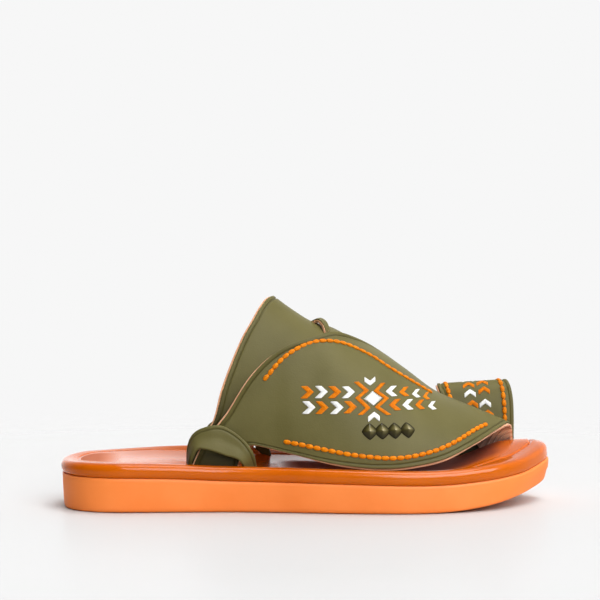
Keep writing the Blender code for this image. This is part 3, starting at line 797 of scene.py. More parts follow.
OUTER_WING = Table(
    ("row", "low_station", "low_girth", "top_station", "top_girth"),
    (
        (0, 102.0, -93.6, 76.0, -93.6), (1, 102.0, -90.0, 76.0, -90.0), (2, 104.5, -85.0, 83.2, -83.0),
        (3, 110.0, -82.0, 92.6, -77.0), (4, 121.0, -82.0, 99.0, -71.9), (5, 138.0, -83.4, 110.0, -60.6),
        (6, 160.0, -86.0, 129.5, -41.3), (7, 184.0, -87.0, 154.0, -19.8), (8, 203.0, -85.3, 180.0, 0.0),
        (9, 219.0, -80.5, 203.0, 4.0), (10, 232.0, -71.8, 219.0, 8.0), (11, 245.0, -57.8, 229.0, 24.0),
        (12, 256.0, -35.8, 239.0, 52.0), (13, 261.7, -9.0, 248.0, 76.0), (14, 264.4, 20.0, 253.0, 89.0),
        (15, 265.8, 60.0, 254.2, 91.8), (16, 266.3, 93.6, 254.5, 93.6),
    ),
)


def post_reach(station):
    return np.full(np.shape(station), POST_REACH)


def stands_off(along, across):
    """The wing's rear edge stands a little off the band where the two straps cross."""
    row = along * OUTER_WING.keys[-1]
    rise = np.clip(STAND_OFF_LEAST + STAND_OFF_GAIN * (row - STAND_OFF_START), STAND_OFF_LEAST, 1.0)
    crossing = rise * clamp((STAND_OFF_END - row) / STAND_OFF_FADE)
    return STAND_OFF * crossing * clamp((across - STAND_OFF_EDGE) / STAND_OFF_WIDTH) ** 2


def arch_pleats(along, across):
    """Small folds of the lining where the wing turns down to the post."""
    row = along * OUTER_WING.keys[-1]
    turn = clamp((row - PLEAT_START) / PLEAT_START_FADE) * clamp((PLEAT_END - row) / PLEAT_END_FADE)
    wave = np.sin(2 * math.pi * (row * PLEAT_RATE + across * PLEAT_SLANT))
    return PLEAT_DEPTH * turn * np.maximum(0.0, wave) ** 2


wing_surface = strap_surface(OUTER_WING, "low", "top", post_reach)
rows = np.linspace(0.0, OUTER_WING.keys[-1], WING_RIBS + 1)
margin = LINING_MARGIN + ARCH_SHOW * hump(rows, ARCH_SHOW_ROW, ARCH_SHOW_WIDTH)
margin += TAIL_SHOW * hump(rows, TAIL_SHOW_ROW, TAIL_SHOW_WIDTH)
crossing = clamp((rows - CROSSING_START) / CROSSING_START_FADE)
crossing = crossing * clamp((CROSSING_END - rows) / CROSSING_END_FADE)
wing_margin = np.column_stack((margin + LOW_EDGE_SHOW * crossing, margin - TOP_EDGE_HIDE * crossing))
for piece in strap_layers(
    "outer_wing", wing_surface, WING_RIBS, WING_COLUMNS, WING_LIFT, olive, suede, stands_off, wing_margin,
    arch_pleats
):
    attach(piece, "root")
    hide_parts("upper")

# Toe loop
# A short band of the same lined leather over the big toe.
# Both of its ends go down into the footbed, one of them beside the toe post.
LOOP_RIBS = 120
LOOP_COLUMNS = 22
LOOP_MARGINS = ((0.1, 0.9),)
LOOP_LEAN = 0.06
LOOP_MIDDLE = 245.0
LOOP_FOOT = 23.0
LOOP_HEIGHT = 44.0
# Painted shade on the loop's near leg, low down inside the toe arch.
LOOP_PAINTED_SHADE = 40.0
LOOP_PAINTED_SHADE_FADE = 6.0
LOOP_PAINTED_SHADE_SIDE = 22.0
TOE_LOOP = Table(
    ("row", "y", "z", "rear", "front"),
    (
        (0, 17.5, 25.2, 233.0, 267.5), (1, 17.5, 29.6, 232.5, 267.6), (2, 17.6, 37.0, 231.0, 267.6),
        (3, 18.4, 48.0, 228.6, 267.7), (4, 20.6, 58.0, 226.0, 267.4), (5, 24.6, 65.2, 223.8, 266.2),
        (6, 30.0, 68.0, 223.0, 264.4), (7, 35.4, 65.2, 224.0, 263.6), (8, 39.4, 58.0, 227.0, 263.2),
        (9, 41.6, 48.0, 231.5, 263.2), (10, 42.4, 37.0, 236.0, 263.2), (11, 42.5, 28.0, 239.5, 263.0),
        (12, 42.5, 24.2, 240.0, 263.0),
    ),
)


def loop_surface(along, across):
    """The loop's middle surface, from its front edge to its rear edge."""
    row = along * TOE_LOOP.keys[-1]
    station = TOE_LOOP.between("front", "rear", row, across)
    z = TOE_LOOP.at("z", row)
    lean = LOOP_LEAN * (station - LOOP_MIDDLE) * (z - LOOP_FOOT) / LOOP_HEIGHT
    return points_of(station, TOE_LOOP.at("y", row), z + lean)


for piece in strap_layers(
    "toe_loop", loop_surface, LOOP_RIBS, LOOP_COLUMNS, -LEATHER_TOP / 2, olive, suede, margin=LOOP_MARGINS
):
    # Painted shade: the near leg goes dark low down, inside the toe arch.
    places = np.empty((len(piece.data.vertices), 3), dtype=np.float32)
    piece.data.vertices.foreach_get("co", places.ravel())
    places = places / MM
    painted_shade = clamp((LOOP_PAINTED_SHADE - places[:, 2]) / LOOP_PAINTED_SHADE_FADE) * (places[:, 1] < LOOP_PAINTED_SHADE_SIDE)
    give_values(piece, "painted_darkening", painted_shade)
    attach(piece, "root")
    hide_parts("toe_loop")

# Keepers
# An arched olive leather band at each side of the instep, over the tails of the straps.
# It is folded soft, with a shallow trough along its middle, and both legs go down into the footbed.
KEEPER_WALL = 2.2
KEEPER_FOOT = 24.0
KEEPER_RIBS = 110
KEEPER_COLUMNS = 18
KEEPER_ROUND = 1.0
KEEPER_BACK_ROUND = 0.6
KEEPER_CREASE = 2.3
KEEPER_CREASE_WIDTH = 0.5
KEEPER_CREASE_DEPTH = 0.5
# Painted shade along the keeper's crease line.
KEEPER_CREASE_PAINTED_SHADE = 0.4
TROUGH_DEPTH = 0.45
TROUGH_WIDTH = 0.2
# Painted shade on the outer keeper's rear leg, low down.
LEG_FRONT = 84.0
LEG_FRONT_FADE = 4.0
LEG_FADE = 10.0
LEG_PAINTED_SHADE = 0.8
INNER_SHIFT = 10.0
INNER_SQUAT = 0.8
OUTER_TAIL_FACE = 33.5
INNER_TAIL_FACE = 30.0
KEEPER = Table(
    ("row", "in_station", "in_out", "in_z", "rim_station", "rim_out", "rim_z"),
    (
        (0, 74.4, -8.0, 19.8, 75.0, 1.6, 19.8), (1, 74.0, -8.0, 26.0, 75.0, 1.7, 26.0),
        (2, 74.2, -5.0, 37.5, 75.8, 3.0, 31.0), (3, 77.6, -1.0, 45.8, 79.8, 4.0, 36.8),
        (4, 85.5, 1.6, 49.8, 87.5, 4.4, 35.8), (5, 94.0, 1.8, 49.8, 95.0, 4.4, 33.2),
        (6, 103.8, 2.3, 43.8, 101.6, 4.4, 31.2), (7, 110.6, 2.0, 35.8, 104.2, 3.6, 28.8),
        (8, 113.4, -5.0, 26.0, 105.6, 1.8, 25.6), (9, 113.4, -6.0, 19.0, 105.6, 1.8, 19.0),
    ),
)


def keeper_surface(side):
    """The keeper's middle surface, from its lower rim up to its inside edge."""
    def surface(along, across):
        row = along * KEEPER.keys[-1]
        share = across if side > 0 else 1.0 - across
        station = KEEPER.between("in_station", "rim_station", row, share)
        out = KEEPER.between("in_out", "rim_out", row, share)
        z = KEEPER.between("in_z", "rim_z", row, share)
        if side < 0:
            return points_of(station, -(OUTER_TAIL_FACE + out), z)
        station = station + INNER_SHIFT
        z = lerp(KEEPER_FOOT, z, INNER_SQUAT) + arch(station, INNER_TAIL_FACE + out)
        return points_of(station, INNER_TAIL_FACE + out, z)
    return surface


along = np.linspace(0.0, 1.0, KEEPER_RIBS + 1)
for side, name in ((-1, "keeper_outer"), (1, "keeper_inner")):
    surface = keeper_surface(side)
    across, edge = across_shares(surface, along, 0.0, KEEPER_COLUMNS, KEEPER_WALL / 2)
    upper = (across > 0.5) if side < 0 else (across < 0.5)
    crease = hump(edge, KEEPER_CREASE, KEEPER_CREASE_WIDTH) * upper
    drop = rounded_edge(edge, KEEPER_ROUND) + KEEPER_CREASE_DEPTH * crease
    trough = TROUGH_DEPTH * hump(across, 0.5, TROUGH_WIDTH) * np.sin(math.pi * along[:, None]) ** 2
    face = KEEPER_WALL / 2 - drop - trough
    back = rounded_edge(edge, KEEPER_BACK_ROUND) - KEEPER_WALL / 2
    keeper, points = sheet_piece(name + "_leather", surface, along, across, face, back, olive)
    # Painted shade along the crease line and on the outer keeper's rear leg low down.
    painted_crease_shade = np.concatenate((KEEPER_CREASE_PAINTED_SHADE * crease.ravel(), np.zeros(edge.size)))
    leg = clamp((PAINTED_SHADE_TOP - points[:, 2]) / LEG_FADE) * clamp((LEG_FRONT - points[:, 0]) / LEG_FRONT_FADE)
    give_values(keeper, "painted_darkening", np.maximum(painted_crease_shade, LEG_PAINTED_SHADE * leg * (points[:, 1] < 0.0)))
    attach(keeper, "root")
    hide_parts(name)

# Crossing tie
# A short strip of doubled leather at the top of the crossing, olive outside with a tan cut edge.
# It comes out of a slit in the instep band and is tucked under the wing's top edge.
TIE_WALL = 2.2
TIE_RIBS = 48
TIE_COLUMNS = 10
TIE_ROUND = 0.25
LAST_STEP = 0.5
TIE = Table(
    ("row", "near_station", "near_girth", "far_station", "far_girth", "lift"),
    (
        (0, 146.4, -3.0, 148.4, 4.0, 1.6), (1, 148.4, -5.8, 150.4, 0.6, 4.2),
        (2, 150.4, -9.6, 152.4, -4.0, 4.8), (3, 152.2, -13.8, 154.2, -9.0, 4.4),
        (4, 153.8, -18.0, 155.8, -14.2, 2.6),
    ),
)


def off_last(station, girth, lift, inner_reach):
    """Points at a distance off the last, square to it."""
    lift = lift + 0 * station
    return off_surface(lambda s, g: last_point(s, g, inner_reach), station, girth, lift, LAST_STEP)


def tie_surface(along, across):
    row = along * TIE.keys[-1]
    station = TIE.between("near_station", "far_station", row, across)
    girth = TIE.between("near_girth", "far_girth", row, across)
    return off_last(station, girth, TIE.at("lift", row), foot_reach)


cut_edge, tree, shader = new_material("tan_cut_edge", 0.6)
mottle(tree, shader, 240.0, 4.0, (0.86, 0.42, 0.21), (0.95, 0.52, 0.28))

along = np.linspace(0.0, 1.0, TIE_RIBS + 1)
for part, finish, low, high, margin in (
    ("crossing_tie_leather", olive, 0.45, TIE_WALL / 2, 0.0),
    ("crossing_tie_core", cut_edge, -0.35, 0.42, 0.2),
    ("crossing_tie_back", suede, -TIE_WALL / 2, -0.4, 0.12),
):
    across, edge = across_shares(tie_surface, along, margin, TIE_COLUMNS, high)
    face = high - rounded_edge(edge, TIE_ROUND)
    back = np.full_like(across, low)
    tie, points = sheet_piece(part, tie_surface, along, across, face, back, finish)
    tie.data.set_sharp_from_angle(angle=SHARP_ANGLE)
    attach(tie, "root")
    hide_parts("crossing_tie")

# Studs
# Four small pads of glossy dark leather, folded to four soft ridges and sewn on in a row.
# They stand on the outer wing under the embroidery.
STUD_COUNT = 4
STUD_FIRST = 178.0
STUD_PITCH = 7.1
STUD_HEIGHT = 46.3
STUD_RADIUS = 4.6
STUD_TALL = 1.05
STUD_RISE = 2.7
STUD_CORNER = 1.3
STUD_DOME = 1.25
STUD_FOLD = 0.5
STUD_EVEN = 0.7
STUD_UNEVEN = 0.3
# Painted highlight on the pads: lighter towards the tip and on one side.
STUD_LIGHT = 0.65
STUD_GLINT = 0.35
STUD_LIGHT_TURN = 0.6
STUD_RINGS = 10
STUD_TURNS = 48


def wing_point(station, height, lift):
    """A point off the outer wing's side of the last, by its station and its height above the floor."""
    floor = LAST.at("floor", station)
    girth = -np.degrees(np.arccos((height - floor) / (LAST.at("top_z", station) - floor)))
    return off_last(station, girth, lift, post_reach)


stud_leather, tree, shader = new_material("glossy_dark_leather", 0.22, 0.2)
# Painted highlight and shade: near black at each pad's rim, light at its tip.
colour = shades(
    tree, point_value(tree, "painted_highlight_and_shade"), (0.0, (0.012, 0.009, 0.001)), (0.2, (0.040, 0.033, 0.006)),
    (0.45, (0.115, 0.098, 0.030)), (0.8, (0.30, 0.26, 0.125)), (1.0, (0.52, 0.47, 0.29)),
)
tree.links.new(colour, shader.inputs["Base Color"])
relief(tree, shader, pebbles(tree, 1500.0), 0.04)

turn = np.linspace(0.0, 2 * math.pi, STUD_TURNS, endpoint=False)
bow = np.abs(np.cos(turn)) ** STUD_CORNER + np.abs(np.sin(turn)) ** STUD_CORNER
square = 1.0 / bow ** (1 / STUD_CORNER)
ridge = 1.0 - STUD_FOLD * np.abs(np.sin(2 * turn))
pairs = [(k, (k + 1) % STUD_TURNS) for k in range(STUD_TURNS)]
points = []
faces = []
highlight_and_shade = []
for i in range(STUD_COUNT):
    station = STUD_FIRST + STUD_PITCH * i
    foot = wing_point(station, STUD_HEIGHT, WING_FACE)
    out = wing_point(station, STUD_HEIGHT, WING_FACE + 1.0) - foot
    ahead = wing_point(station + 1.0, STUD_HEIGHT, WING_FACE) - foot
    up = np.cross(out, ahead)
    up /= np.linalg.norm(up)
    ahead = np.cross(up, out)
    start = len(points)
    for r in range(STUD_RINGS):
        size = 1.0 - r / STUD_RINGS
        uneven = lerp(ridge, 1.0, (1.0 - size) ** 2)
        rise = STUD_RISE * (1.0 - size ** STUD_DOME) * (STUD_EVEN + STUD_UNEVEN * uneven)
        across = STUD_RADIUS * size * square * np.cos(turn)
        tall = STUD_RADIUS * STUD_TALL * size * square * np.sin(turn)
        points.extend(foot + across[:, None] * ahead + tall[:, None] * up + rise[:, None] * out)
        # Painted highlight, brighter towards the tip and on one side of each ring.
        highlight_and_shade.extend((1.0 - size) * (STUD_LIGHT + STUD_GLINT * np.sin(turn + STUD_LIGHT_TURN)))
    points.append(foot + STUD_RISE * out)
    highlight_and_shade.append(1.0)
    for r in range(STUD_RINGS - 1):
        low = start + r * STUD_TURNS
        high = low + STUD_TURNS
        faces.extend((low + k, low + after, high + after, high + k) for k, after in pairs)
    tip = high + STUD_TURNS
    faces.extend((high + k, high + after, tip) for k, after in pairs)
    faces.append(tuple(range(start, start + STUD_TURNS)))
studs = new_piece("leather_studs", points, faces, stud_leather)
give_values(studs, "painted_highlight_and_shade", highlight_and_shade)
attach(studs, "root")
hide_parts("stud_1", "stud_2", "stud_3", "stud_4")

# Rows of saddle stitches
# Thick waxed orange thread in long plump stitches, sewn by hand through both straps.
# One row follows each edge of the outer wing, and two rows go over the toe loop.
STITCH_PITCH = 4.3
STITCH_LENGTH = 4.5
STITCH_WIDTH = 2.7
STITCH_RISE = 1.9
STITCH_LIFT = 0.25
STITCH_FORM = (10, 8, 0.8)
TRACK_POINTS = 1200
UPPER_ROW = (
    (117.6, -59.5), (120.6, -56.5), (123.1, -53.4), (126.2, -49.7), (129.1, -46.3), (132.2, -42.9),
    (135.7, -39.3), (138.8, -36.0), (142.1, -32.6), (145.9, -29.3), (150.4, -26.9), (154.4, -25.5),
    (158.6, -24.1), (167.2, -20.8), (179.0, -20.3), (190.4, -23.3), (202.1, -22.0), (215.5, -17.6),
)
LOWER_ROW = (
    (129.6, -78.9), (140.1, -79.2), (149.0, -79.9), (157.7, -80.7), (166.9, -81.3), (183.8, -81.6),
    (195.1, -80.8), (206.4, -77.9), (218.0, -72.1), (230.1, -61.8), (242.8, -44.7), (247.4, -37.4),
)
LOOP_REAR_ROW = (
    (1.4, 236.0), (2.4, 234.2), (3.4, 232.0), (4.3, 230.0), (5.0, 228.8), (5.6, 228.0), (6.5, 228.0),
    (7.4, 229.6), (8.4, 233.2), (9.4, 237.6), (10.4, 241.6),
)
LOOP_FRONT_ROW = (
    (1.4, 262.6), (2.4, 262.4), (3.2, 262.2), (4.0, 261.8), (4.8, 261.2), (5.4, 260.4), (6.4, 259.2),
    (7.4, 258.6), (8.4, 258.4), (9.4, 258.4), (10.4, 258.4),
)


def thread_tree(name, material):
    """Sews one plump thread at each point: its points carry along, out and size."""
    tree = bpy.data.node_groups.new(name, "GeometryNodeTree")
    tree.interface.new_socket("Points", in_out="INPUT", socket_type="NodeSocketGeometry")
    segments = tree.interface.new_socket("Segments", in_out="INPUT", socket_type="NodeSocketInt")
    rings = tree.interface.new_socket("Rings", in_out="INPUT", socket_type="NodeSocketInt")
    blunt = tree.interface.new_socket("Bluntness", in_out="INPUT", socket_type="NodeSocketFloat")
    tree.interface.new_socket("Threads", in_out="OUTPUT", socket_type="NodeSocketGeometry")
    given = tree.nodes.new("NodeGroupInput").outputs

    def reckon(operation, *values):
        node = add_node(tree, "ShaderNodeMath", dict(enumerate(values)), operation=operation)
        return node.outputs[0]

    def carried(attribute):
        inputs = {"Name": attribute}
        node = add_node(tree, "GeometryNodeInputNamedAttribute", inputs, data_type="FLOAT_VECTOR")
        return node.outputs["Attribute"]

    inputs = {"Radius": 0.5, "Segments": given["Segments"], "Rings": given["Rings"]}
    ball = add_node(tree, "GeometryNodeMeshUVSphere", inputs)
    place = tree.nodes.new("GeometryNodeInputPosition")
    parts = add_node(tree, "ShaderNodeSeparateXYZ", {"Vector": place.outputs["Position"]}).outputs
    reach = reckon("MULTIPLY", parts["Z"], 2.0)
    blunted = reckon("POWER", reckon("ABSOLUTE", reach), given["Bluntness"])
    signed = reckon("MULTIPLY", blunted, reckon("SIGN", reach))
    inputs = {"X": reckon("MULTIPLY", signed, 0.5), "Y": parts["X"], "Z": parts["Y"]}
    joined = add_node(tree, "ShaderNodeCombineXYZ", inputs)
    inputs = {"Geometry": ball.outputs["Mesh"], "Position": joined.outputs["Vector"]}
    shaped = add_node(tree, "GeometryNodeSetPosition", inputs)

    lie = add_node(tree, "FunctionNodeAlignRotationToVector", {"Vector": carried("along")}, axis="X")
    inputs = {"Rotation": lie.outputs["Rotation"], "Vector": carried("out")}
    face = add_node(tree, "FunctionNodeAlignRotationToVector", inputs, axis="Z", pivot_axis="X")
    inputs = {
        "Points": given["Points"], "Instance": shaped.outputs["Geometry"],
        "Rotation": face.outputs["Rotation"], "Scale": carried("size"),
    }
    sew = add_node(tree, "GeometryNodeInstanceOnPoints", inputs)
    real = add_node(tree, "GeometryNodeRealizeInstances", {"Geometry": sew.outputs["Instances"]})
    smooth = add_node(tree, "GeometryNodeSetShadeSmooth", {"Geometry": real.outputs["Geometry"]})
    inputs = {"Geometry": smooth.outputs["Geometry"], "Material": material}
    dye = add_node(tree, "GeometryNodeSetMaterial", inputs)
    add_node(tree, "NodeGroupOutput", {"Threads": dye.outputs["Geometry"]})
    return tree, (segments.identifier, rings.identifier, blunt.identifier)


def sewn_piece(name, starts, ends, outs, width, rise, material, form):
    """One mesh of threads between starts and ends in millimetres, with segments, rings and bluntness."""
    starts = np.asarray(starts)
    ends = np.asarray(ends)
    middles = ((starts + ends) / 2 - (SOLE_LENGTH / 2, 0.0, 0.0)) * MM
    lengths = np.linalg.norm(ends - starts, axis=1)
    sizes = np.column_stack((lengths, np.full_like(lengths, width), np.full_like(lengths, rise))) * MM
    holder_mesh = bpy.data.meshes.new(name + "_points")
    holder_mesh.from_pydata(middles.tolist(), [], [])
    for attribute, values in (("along", ends - starts), ("out", np.asarray(outs)), ("size", sizes)):
        layer = holder_mesh.attributes.new(attribute, "FLOAT_VECTOR", "POINT")
        layer.data.foreach_set("vector", np.ascontiguousarray(values, dtype=np.float32).ravel())
    holder = add_object(name, holder_mesh)
    group, sockets = thread_tree(name + "_sewing", material)
    sewing = holder.modifiers.new("sewing", "NODES")
    sewing.node_group = group
    for identifier, value in zip(sockets, form):
        sewing[identifier] = value
    evaluated = holder.evaluated_get(bpy.context.evaluated_depsgraph_get())
    mesh = bpy.data.meshes.new_from_object(evaluated)
    holder.modifiers.remove(sewing)
    holder.data = mesh
    bpy.data.meshes.remove(holder_mesh)
    return holder


def stitches_along(path, row):
    """Starts, ends and outward directions of stitches spaced along a row of places on a surface."""
    places = Table(("key", "first", "second"), [(key, *place) for key, place in enumerate(row)])
    fine = np.linspace(0.0, len(row) - 1.0, TRACK_POINTS)
    first = places.at("first", fine)
    second = places.at("second", fine)
    run = distances(path(first, second, 0.0))
    count = int(run[-1] / STITCH_PITCH)
    middle = (np.arange(count) + 0.5) * run[-1] / count
    found = []
    for shift in (-STITCH_LENGTH / 2, STITCH_LENGTH / 2, 0.0):
        where = (np.interp(middle + shift, run, first), np.interp(middle + shift, run, second))
        found.append((path(*where, STITCH_LIFT), path(*where, STITCH_LIFT + 1.0)))
    return found[0][0], found[1][0], found[2][1] - found[2][0]


def on_wing(station, girth, lift):
    return off_last(station, girth, WING_FACE + lift, post_reach)


def on_loop(row, station, lift):
    front = TOE_LOOP.at("front", row)
    across = (station - front) / (TOE_LOOP.at("rear", row) - front)
    return off_surface(loop_surface, row / TOE_LOOP.keys[-1], across, LEATHER_TOP / 2 + lift + 0 * row)


orange_thread, tree, shader = new_material("waxed_orange_thread", 0.5, 0.04)
mottle(tree, shader, 420.0, 3.0, (0.66, 0.162, 0.001), (0.77, 0.234, 0.003))
relief(tree, shader, noise(tree, 2200.0, 2.0), 0.12)

sewn = [
    stitches_along(on_wing, UPPER_ROW),
    stitches_along(on_wing, LOWER_ROW),
    stitches_along(on_loop, LOOP_REAR_ROW),
    stitches_along(on_loop, LOOP_FRONT_ROW),
]
starts, ends, outs = (np.concatenate(part) for part in zip(*sewn))
stitches = sewn_piece(
    "saddle_stitches", starts, ends, outs, STITCH_WIDTH, STITCH_RISE, orange_thread, STITCH_FORM
)
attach(stitches, "root")

# Embroidery
# Satin stitch in orange and white thread, laid side by side in small chevrons, zigzags and a diamond.
# It is worked through the wing and the toe loop before they are lined.
THREAD_PITCH = 0.56
THREAD_WIDTH = 0.74
THREAD_RISE = 0.62
THREAD_LIFT = 0.15
THREAD_FORM = (6, 6, 0.55)
CHEVRON_HALF = 3.45
CHEVRON_LEAN = 1.04
CHEVRON_ARM = 4.2
ZIGZAG_ARM = 3.3
DIAMOND_THREADS = 13
DIAMOND_SPARE = 0.2
TIP_HALF = 3.2
TIP_SLOPE = 0.85
TIP_DROP = 1.6
TIP_ARM = 3.6
LOOP_ARM = 3.0
LOOP_HALF = 3.1
LOOP_SLOPE = 0.8
LOOP_STEP = 0.1
TOE_CHEVRONS = (
    ("orange", 144.6, 68.3), ("white", 152.7, 68.3), ("orange", 160.1, 68.1), ("white", 167.7, 67.8),
    ("white", 145.5, 59.9), ("orange", 153.0, 59.8), ("white", 161.3, 59.7), ("orange", 168.8, 59.8),
)
HEEL_CHEVRONS = (
    ("white", 188.9, 67.0), ("orange", 196.4, 66.1), ("white", 203.8, 64.4), ("orange", 210.2, 62.3),
    ("orange", 190.7, 59.9), ("white", 198.2, 59.4), ("orange", 205.5, 58.7), ("white", 213.1, 57.3),
)
ZIGZAGS = (
    ((170.3, 73.0), (176.3, 68.2), (171.1, 64.5), (177.1, 59.0), (172.5, 55.4)),
    ((185.9, 71.5), (181.7, 67.7), (187.7, 63.5), (182.2, 59.3), (189.0, 54.8)),
)
DIAMOND = ((179.7, 67.5), (185.1, 63.6), (180.2, 60.2), (174.5, 64.1))
DOWN_TIP = (178.4, 71.7)
UP_TIP = (180.5, 55.6)
LOOP_CHEVRONS = (
    ("orange", 5.3, 241.4), ("white", 4.53, 242.0), ("orange", 3.79, 243.2), ("white", 3.1, 244.4),
    ("orange", 5.5, 249.6), ("orange", 4.71, 250.4), ("white", 3.81, 250.8), ("orange", 3.2, 252.2),
    ("white", 6.2, 241.4), ("orange", 7.0, 242.2), ("white", 7.7, 243.6), ("orange", 8.4, 245.4),
    ("white", 6.4, 249.2), ("orange", 7.2, 249.4), ("white", 7.9, 250.2), ("orange", 8.6, 251.4),
)

white_thread, tree, shader = new_material("white_silk_thread", 0.45)
mottle(tree, shader, 420.0, 3.0, (0.74, 0.74, 0.72), (0.84, 0.84, 0.82))
relief(tree, shader, noise(tree, 2600.0, 2.0), 0.08)

threads = {"orange": [], "white": []}


def lay_wing_thread(dye, near, far):
    """One thread between two places on the wing, each a station and a height."""
    start = wing_point(*near, WING_FACE + THREAD_LIFT)
    end = wing_point(*far, WING_FACE + THREAD_LIFT)
    middle = [(a + b) / 2 for a, b in zip(near, far)]
    out = wing_point(*middle, 1.0) - wing_point(*middle, 0.0)
    threads[dye].append((start, end, out))


def wing_scale(station, height):
    """Station and height gained by a millimetre along the wing and by a millimetre up it."""
    here = wing_point(station, height, WING_FACE)
    ahead = np.linalg.norm(wing_point(station + 1.0, height, WING_FACE) - here)
    above = np.linalg.norm(wing_point(station, height + 1.0, WING_FACE) - here)
    return 1.0 / ahead, 1.0 / above


def side_by_side(half):
    """Places of threads laid side by side, from one end of a shape to the other."""
    return np.arange(-half, half + 0.01, THREAD_PITCH)


rows = side_by_side(CHEVRON_HALF)
for way, chevrons in ((1.0, TOE_CHEVRONS), (-1.0, HEEL_CHEVRONS)):
    for dye, station, height in chevrons:
        forward, upward = wing_scale(station, height)
        for row in rows:
            tip = way * (CHEVRON_ARM / 2 - CHEVRON_LEAN * abs(row))
            tail = tip - way * CHEVRON_ARM
            level = height + row * upward
            lay_wing_thread(dye, (station + tail * forward, level), (station + tip * forward, level))
for corners in ZIGZAGS:
    for (low_s, low_h), (high_s, high_h) in zip(corners, corners[1:]):
        forward, upward = wing_scale((low_s + high_s) / 2, (low_h + high_h) / 2)
        count = max(2, int(abs(high_h - low_h) / upward / THREAD_PITCH))
        for share in (np.arange(count) + 0.5) / count:
            station = lerp(low_s, high_s, share)
            level = lerp(low_h, high_h, share)
            half = ZIGZAG_ARM / 2 * forward
            lay_wing_thread("orange", (station - half, level), (station + half, level))
top, right, bottom, left = DIAMOND
for share in (np.arange(DIAMOND_THREADS) + 0.5) / DIAMOND_THREADS:
    level = lerp(bottom[1], top[1], share)
    middle = lerp(bottom[0], top[0], share)
    half = (right[0] - left[0]) / 2 * (1.0 - abs(2.0 * share - 1.0)) + DIAMOND_SPARE
    lay_wing_thread("white", (middle - half, level), (middle + half, level))
for (station, height), way in ((DOWN_TIP, 1.0), (UP_TIP, -1.0)):
    forward, upward = wing_scale(station, height)
    for column in side_by_side(TIP_HALF):
        low = height + way * (abs(column) * TIP_SLOPE - TIP_DROP) * upward
        high = low + way * TIP_ARM * upward
        place = station + column * forward
        lay_wing_thread("white", (place, low), (place, high))
for dye, row, station in LOOP_CHEVRONS:
    step = on_loop(row + LOOP_STEP, station, 0.0) - on_loop(row, station, 0.0)
    upward = LOOP_STEP / np.linalg.norm(step)
    for column in side_by_side(LOOP_HALF):
        tip = LOOP_ARM / 2 - LOOP_SLOPE * abs(column) + LOOP_HALF * LOOP_SLOPE / 2
        place = station + column
        middle = row + (tip - LOOP_ARM / 2) * upward
        start = on_loop(row + (tip - LOOP_ARM) * upward, place, THREAD_LIFT)
        end = on_loop(row + tip * upward, place, THREAD_LIFT)
        threads[dye].append((start, end, on_loop(middle, place, 1.0) - on_loop(middle, place, 0.0)))
for dye, material in (("orange", orange_thread), ("white", white_thread)):
    starts, ends, outs = (np.array(part) for part in zip(*threads[dye]))
    embroidery = sewn_piece(
        "embroidery_" + dye, starts, ends, outs, THREAD_WIDTH, THREAD_RISE, material, THREAD_FORM
    )
    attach(embroidery, "root")

# Floor, light and camera
# A plain pale floor fades out into a white room, bright overhead and behind the shoe, dark behind the camera.
# One soft lamp high up and one at the front light the leather. A strip and a softbox only give it glints.
FLOOR_SHADE = 0.545
FLOOR_MOTTLE = 0.005
FLOOR_COAT = 0.24
FLOOR_COAT_ROUGHNESS = 0.3
FLOOR_SOLID = 0.22
FLOOR_END = 0.55
FLOOR_SIDES = 96
FLOOR_HEIGHT = -0.0002
BACKGROUND = 0.93
ROOM_LEVEL = 0.14
ROOM_UP = 0.4
ROOM_BACK = 1.22
ROOM_TOE = 0.2
ROOM_LEAST = 0.04
ROOM_MOST = 2.4
KEY_DIRECTION = (0.25, 0.05, 0.96)
KEY_STRENGTH = 1.6
KEY_SPREAD = 30.0
FILL_DIRECTION = (0.34, -0.70, 0.63)
FILL_STRENGTH = 3.05
FILL_SPREAD = 50.0
GLOSS_DIRECTION = (0.2, -0.15, 0.97)
GLOSS_STRENGTH = 3.6
GLOSS_SPREAD = 40.0
SOFTBOX_DIRECTION = (0.5, -0.72, 0.46)
SOFTBOX_AWAY = 1.6
SOFTBOX_SIZE = (2.4, 1.0)
SOFTBOX_POWER = 95.0
CAMERA_PLACE = (-0.0913, -1.99273, 0.26641)
CAMERA_AZIMUTH = -2.5
CAMERA_ELEVATION = 4.2
CAMERA_LENS = 205.06
CAMERA_SENSOR = 36.0
CAMERA_REACH = 40.0

paper, tree, shader = new_material("pale_floor", 0.7, 0.0)
pale = (FLOOR_SHADE,) * 3
paler = (FLOOR_SHADE + FLOOR_MOTTLE,) * 3
mottle(tree, shader, 3.0, 2.0, pale, paler, 0.3)
shader.inputs["Coat Weight"].default_value = FLOOR_COAT
shader.inputs["Coat Roughness"].default_value = FLOOR_COAT_ROUGHNESS
coords = tree.nodes.new("ShaderNodeTexCoord")
away = add_node(tree, "ShaderNodeVectorMath", {0: coords.outputs["Object"]}, operation="LENGTH")
inputs = {
    "Value": away.outputs["Value"], "From Min": FLOOR_SOLID, "From Max": FLOOR_END,
    "To Min": 1.0, "To Max": 0.0,
}
fade = add_node(tree, "ShaderNodeMapRange", inputs, interpolation_type="SMOOTHSTEP")
tree.links.new(fade.outputs["Result"], shader.inputs["Alpha"])
turns = np.linspace(0.0, 2 * math.pi, FLOOR_SIDES, endpoint=False)
floor_points = [(FLOOR_END * math.cos(t), FLOOR_END * math.sin(t), FLOOR_HEIGHT) for t in turns]
mesh = bpy.data.meshes.new("studio_floor")
mesh.from_pydata(floor_points, [], [tuple(range(FLOOR_SIDES))])
mesh.materials.append(paper)
floor = add_object("studio_floor", mesh)

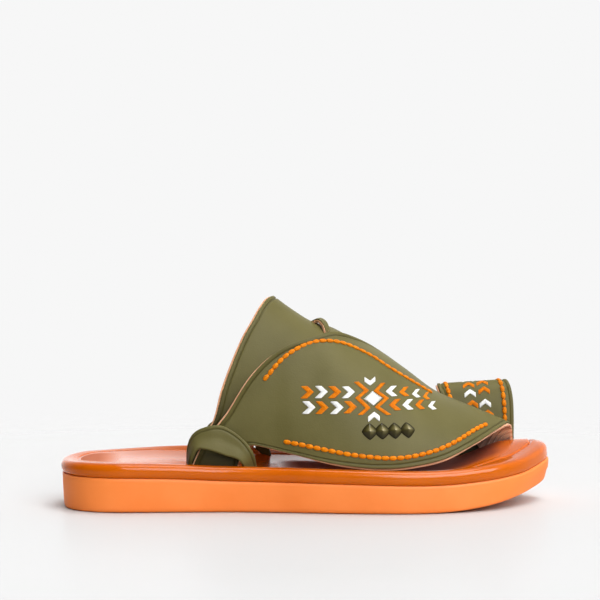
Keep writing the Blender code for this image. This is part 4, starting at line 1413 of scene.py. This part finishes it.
world = bpy.data.worlds.new("white_room")
world.use_nodes = True
tree = world.node_tree
room = tree.nodes["Background"]
coords = tree.nodes.new("ShaderNodeTexCoord")
inputs = {0: coords.outputs["Generated"], 1: (ROOM_TOE, ROOM_BACK, ROOM_UP)}
lean = add_node(tree, "ShaderNodeVectorMath", inputs, operation="DOT_PRODUCT")
inputs = {0: lean.outputs["Value"], 1: ROOM_LEVEL}
level = add_node(tree, "ShaderNodeMath", inputs, operation="ADD")
inputs = {"Value": level.outputs["Value"], "Min": ROOM_LEAST, "Max": ROOM_MOST}
lit = add_node(tree, "ShaderNodeClamp", inputs)
path = tree.nodes.new("ShaderNodeLightPath")
inputs = {"Factor": path.outputs["Is Camera Ray"], "A": lit.outputs["Result"], "B": BACKGROUND}
seen = add_node(tree, "ShaderNodeMix", inputs)
tree.links.new(seen.outputs["Result"], room.inputs["Strength"])
room.inputs["Color"].default_value = (1.0, 1.0, 1.0, 1.0)
bpy.context.scene.world = world


def aim(item, back):
    """Turns a lamp or a camera so that its back looks in a direction."""
    item.rotation_mode = "QUATERNION"
    item.rotation_quaternion = Vector(back).to_track_quat("Z", "Y")


for name, direction, strength, spread, glow, glints in (
    ("high_soft_lamp", KEY_DIRECTION, KEY_STRENGTH, KEY_SPREAD, True, False),
    ("front_fill_lamp", FILL_DIRECTION, FILL_STRENGTH, FILL_SPREAD, True, False),
    ("overhead_strip_lamp", GLOSS_DIRECTION, GLOSS_STRENGTH, GLOSS_SPREAD, False, True),
):
    lamp_data = bpy.data.lights.new(name, "SUN")
    lamp_data.energy = strength
    lamp_data.angle = math.radians(spread)
    lamp = add_object(name, lamp_data)
    lamp.visible_diffuse = glow
    lamp.visible_glossy = glints
    aim(lamp, direction)

box_data = bpy.data.lights.new("toe_end_softbox", "AREA")
box_data.shape = "RECTANGLE"
box_data.size, box_data.size_y = SOFTBOX_SIZE
box_data.energy = SOFTBOX_POWER
softbox = add_object("toe_end_softbox", box_data)
softbox.visible_diffuse = False
softbox.location = Vector(SOFTBOX_DIRECTION).normalized() * SOFTBOX_AWAY
aim(softbox, SOFTBOX_DIRECTION)

camera_data = bpy.data.cameras.new("camera")
camera_data.sensor_width = CAMERA_SENSOR
camera_data.lens = CAMERA_LENS
camera_data.clip_end = CAMERA_REACH
camera = add_object("camera", camera_data)
camera.location = CAMERA_PLACE
azimuth = math.radians(CAMERA_AZIMUTH)
elevation = math.radians(CAMERA_ELEVATION)
level = math.cos(elevation)
aim(camera, (math.sin(azimuth) * level, -math.cos(azimuth) * level, math.sin(elevation)))
bpy.context.scene.camera = camera
bpy.context.scene.view_settings.view_transform = "Standard"
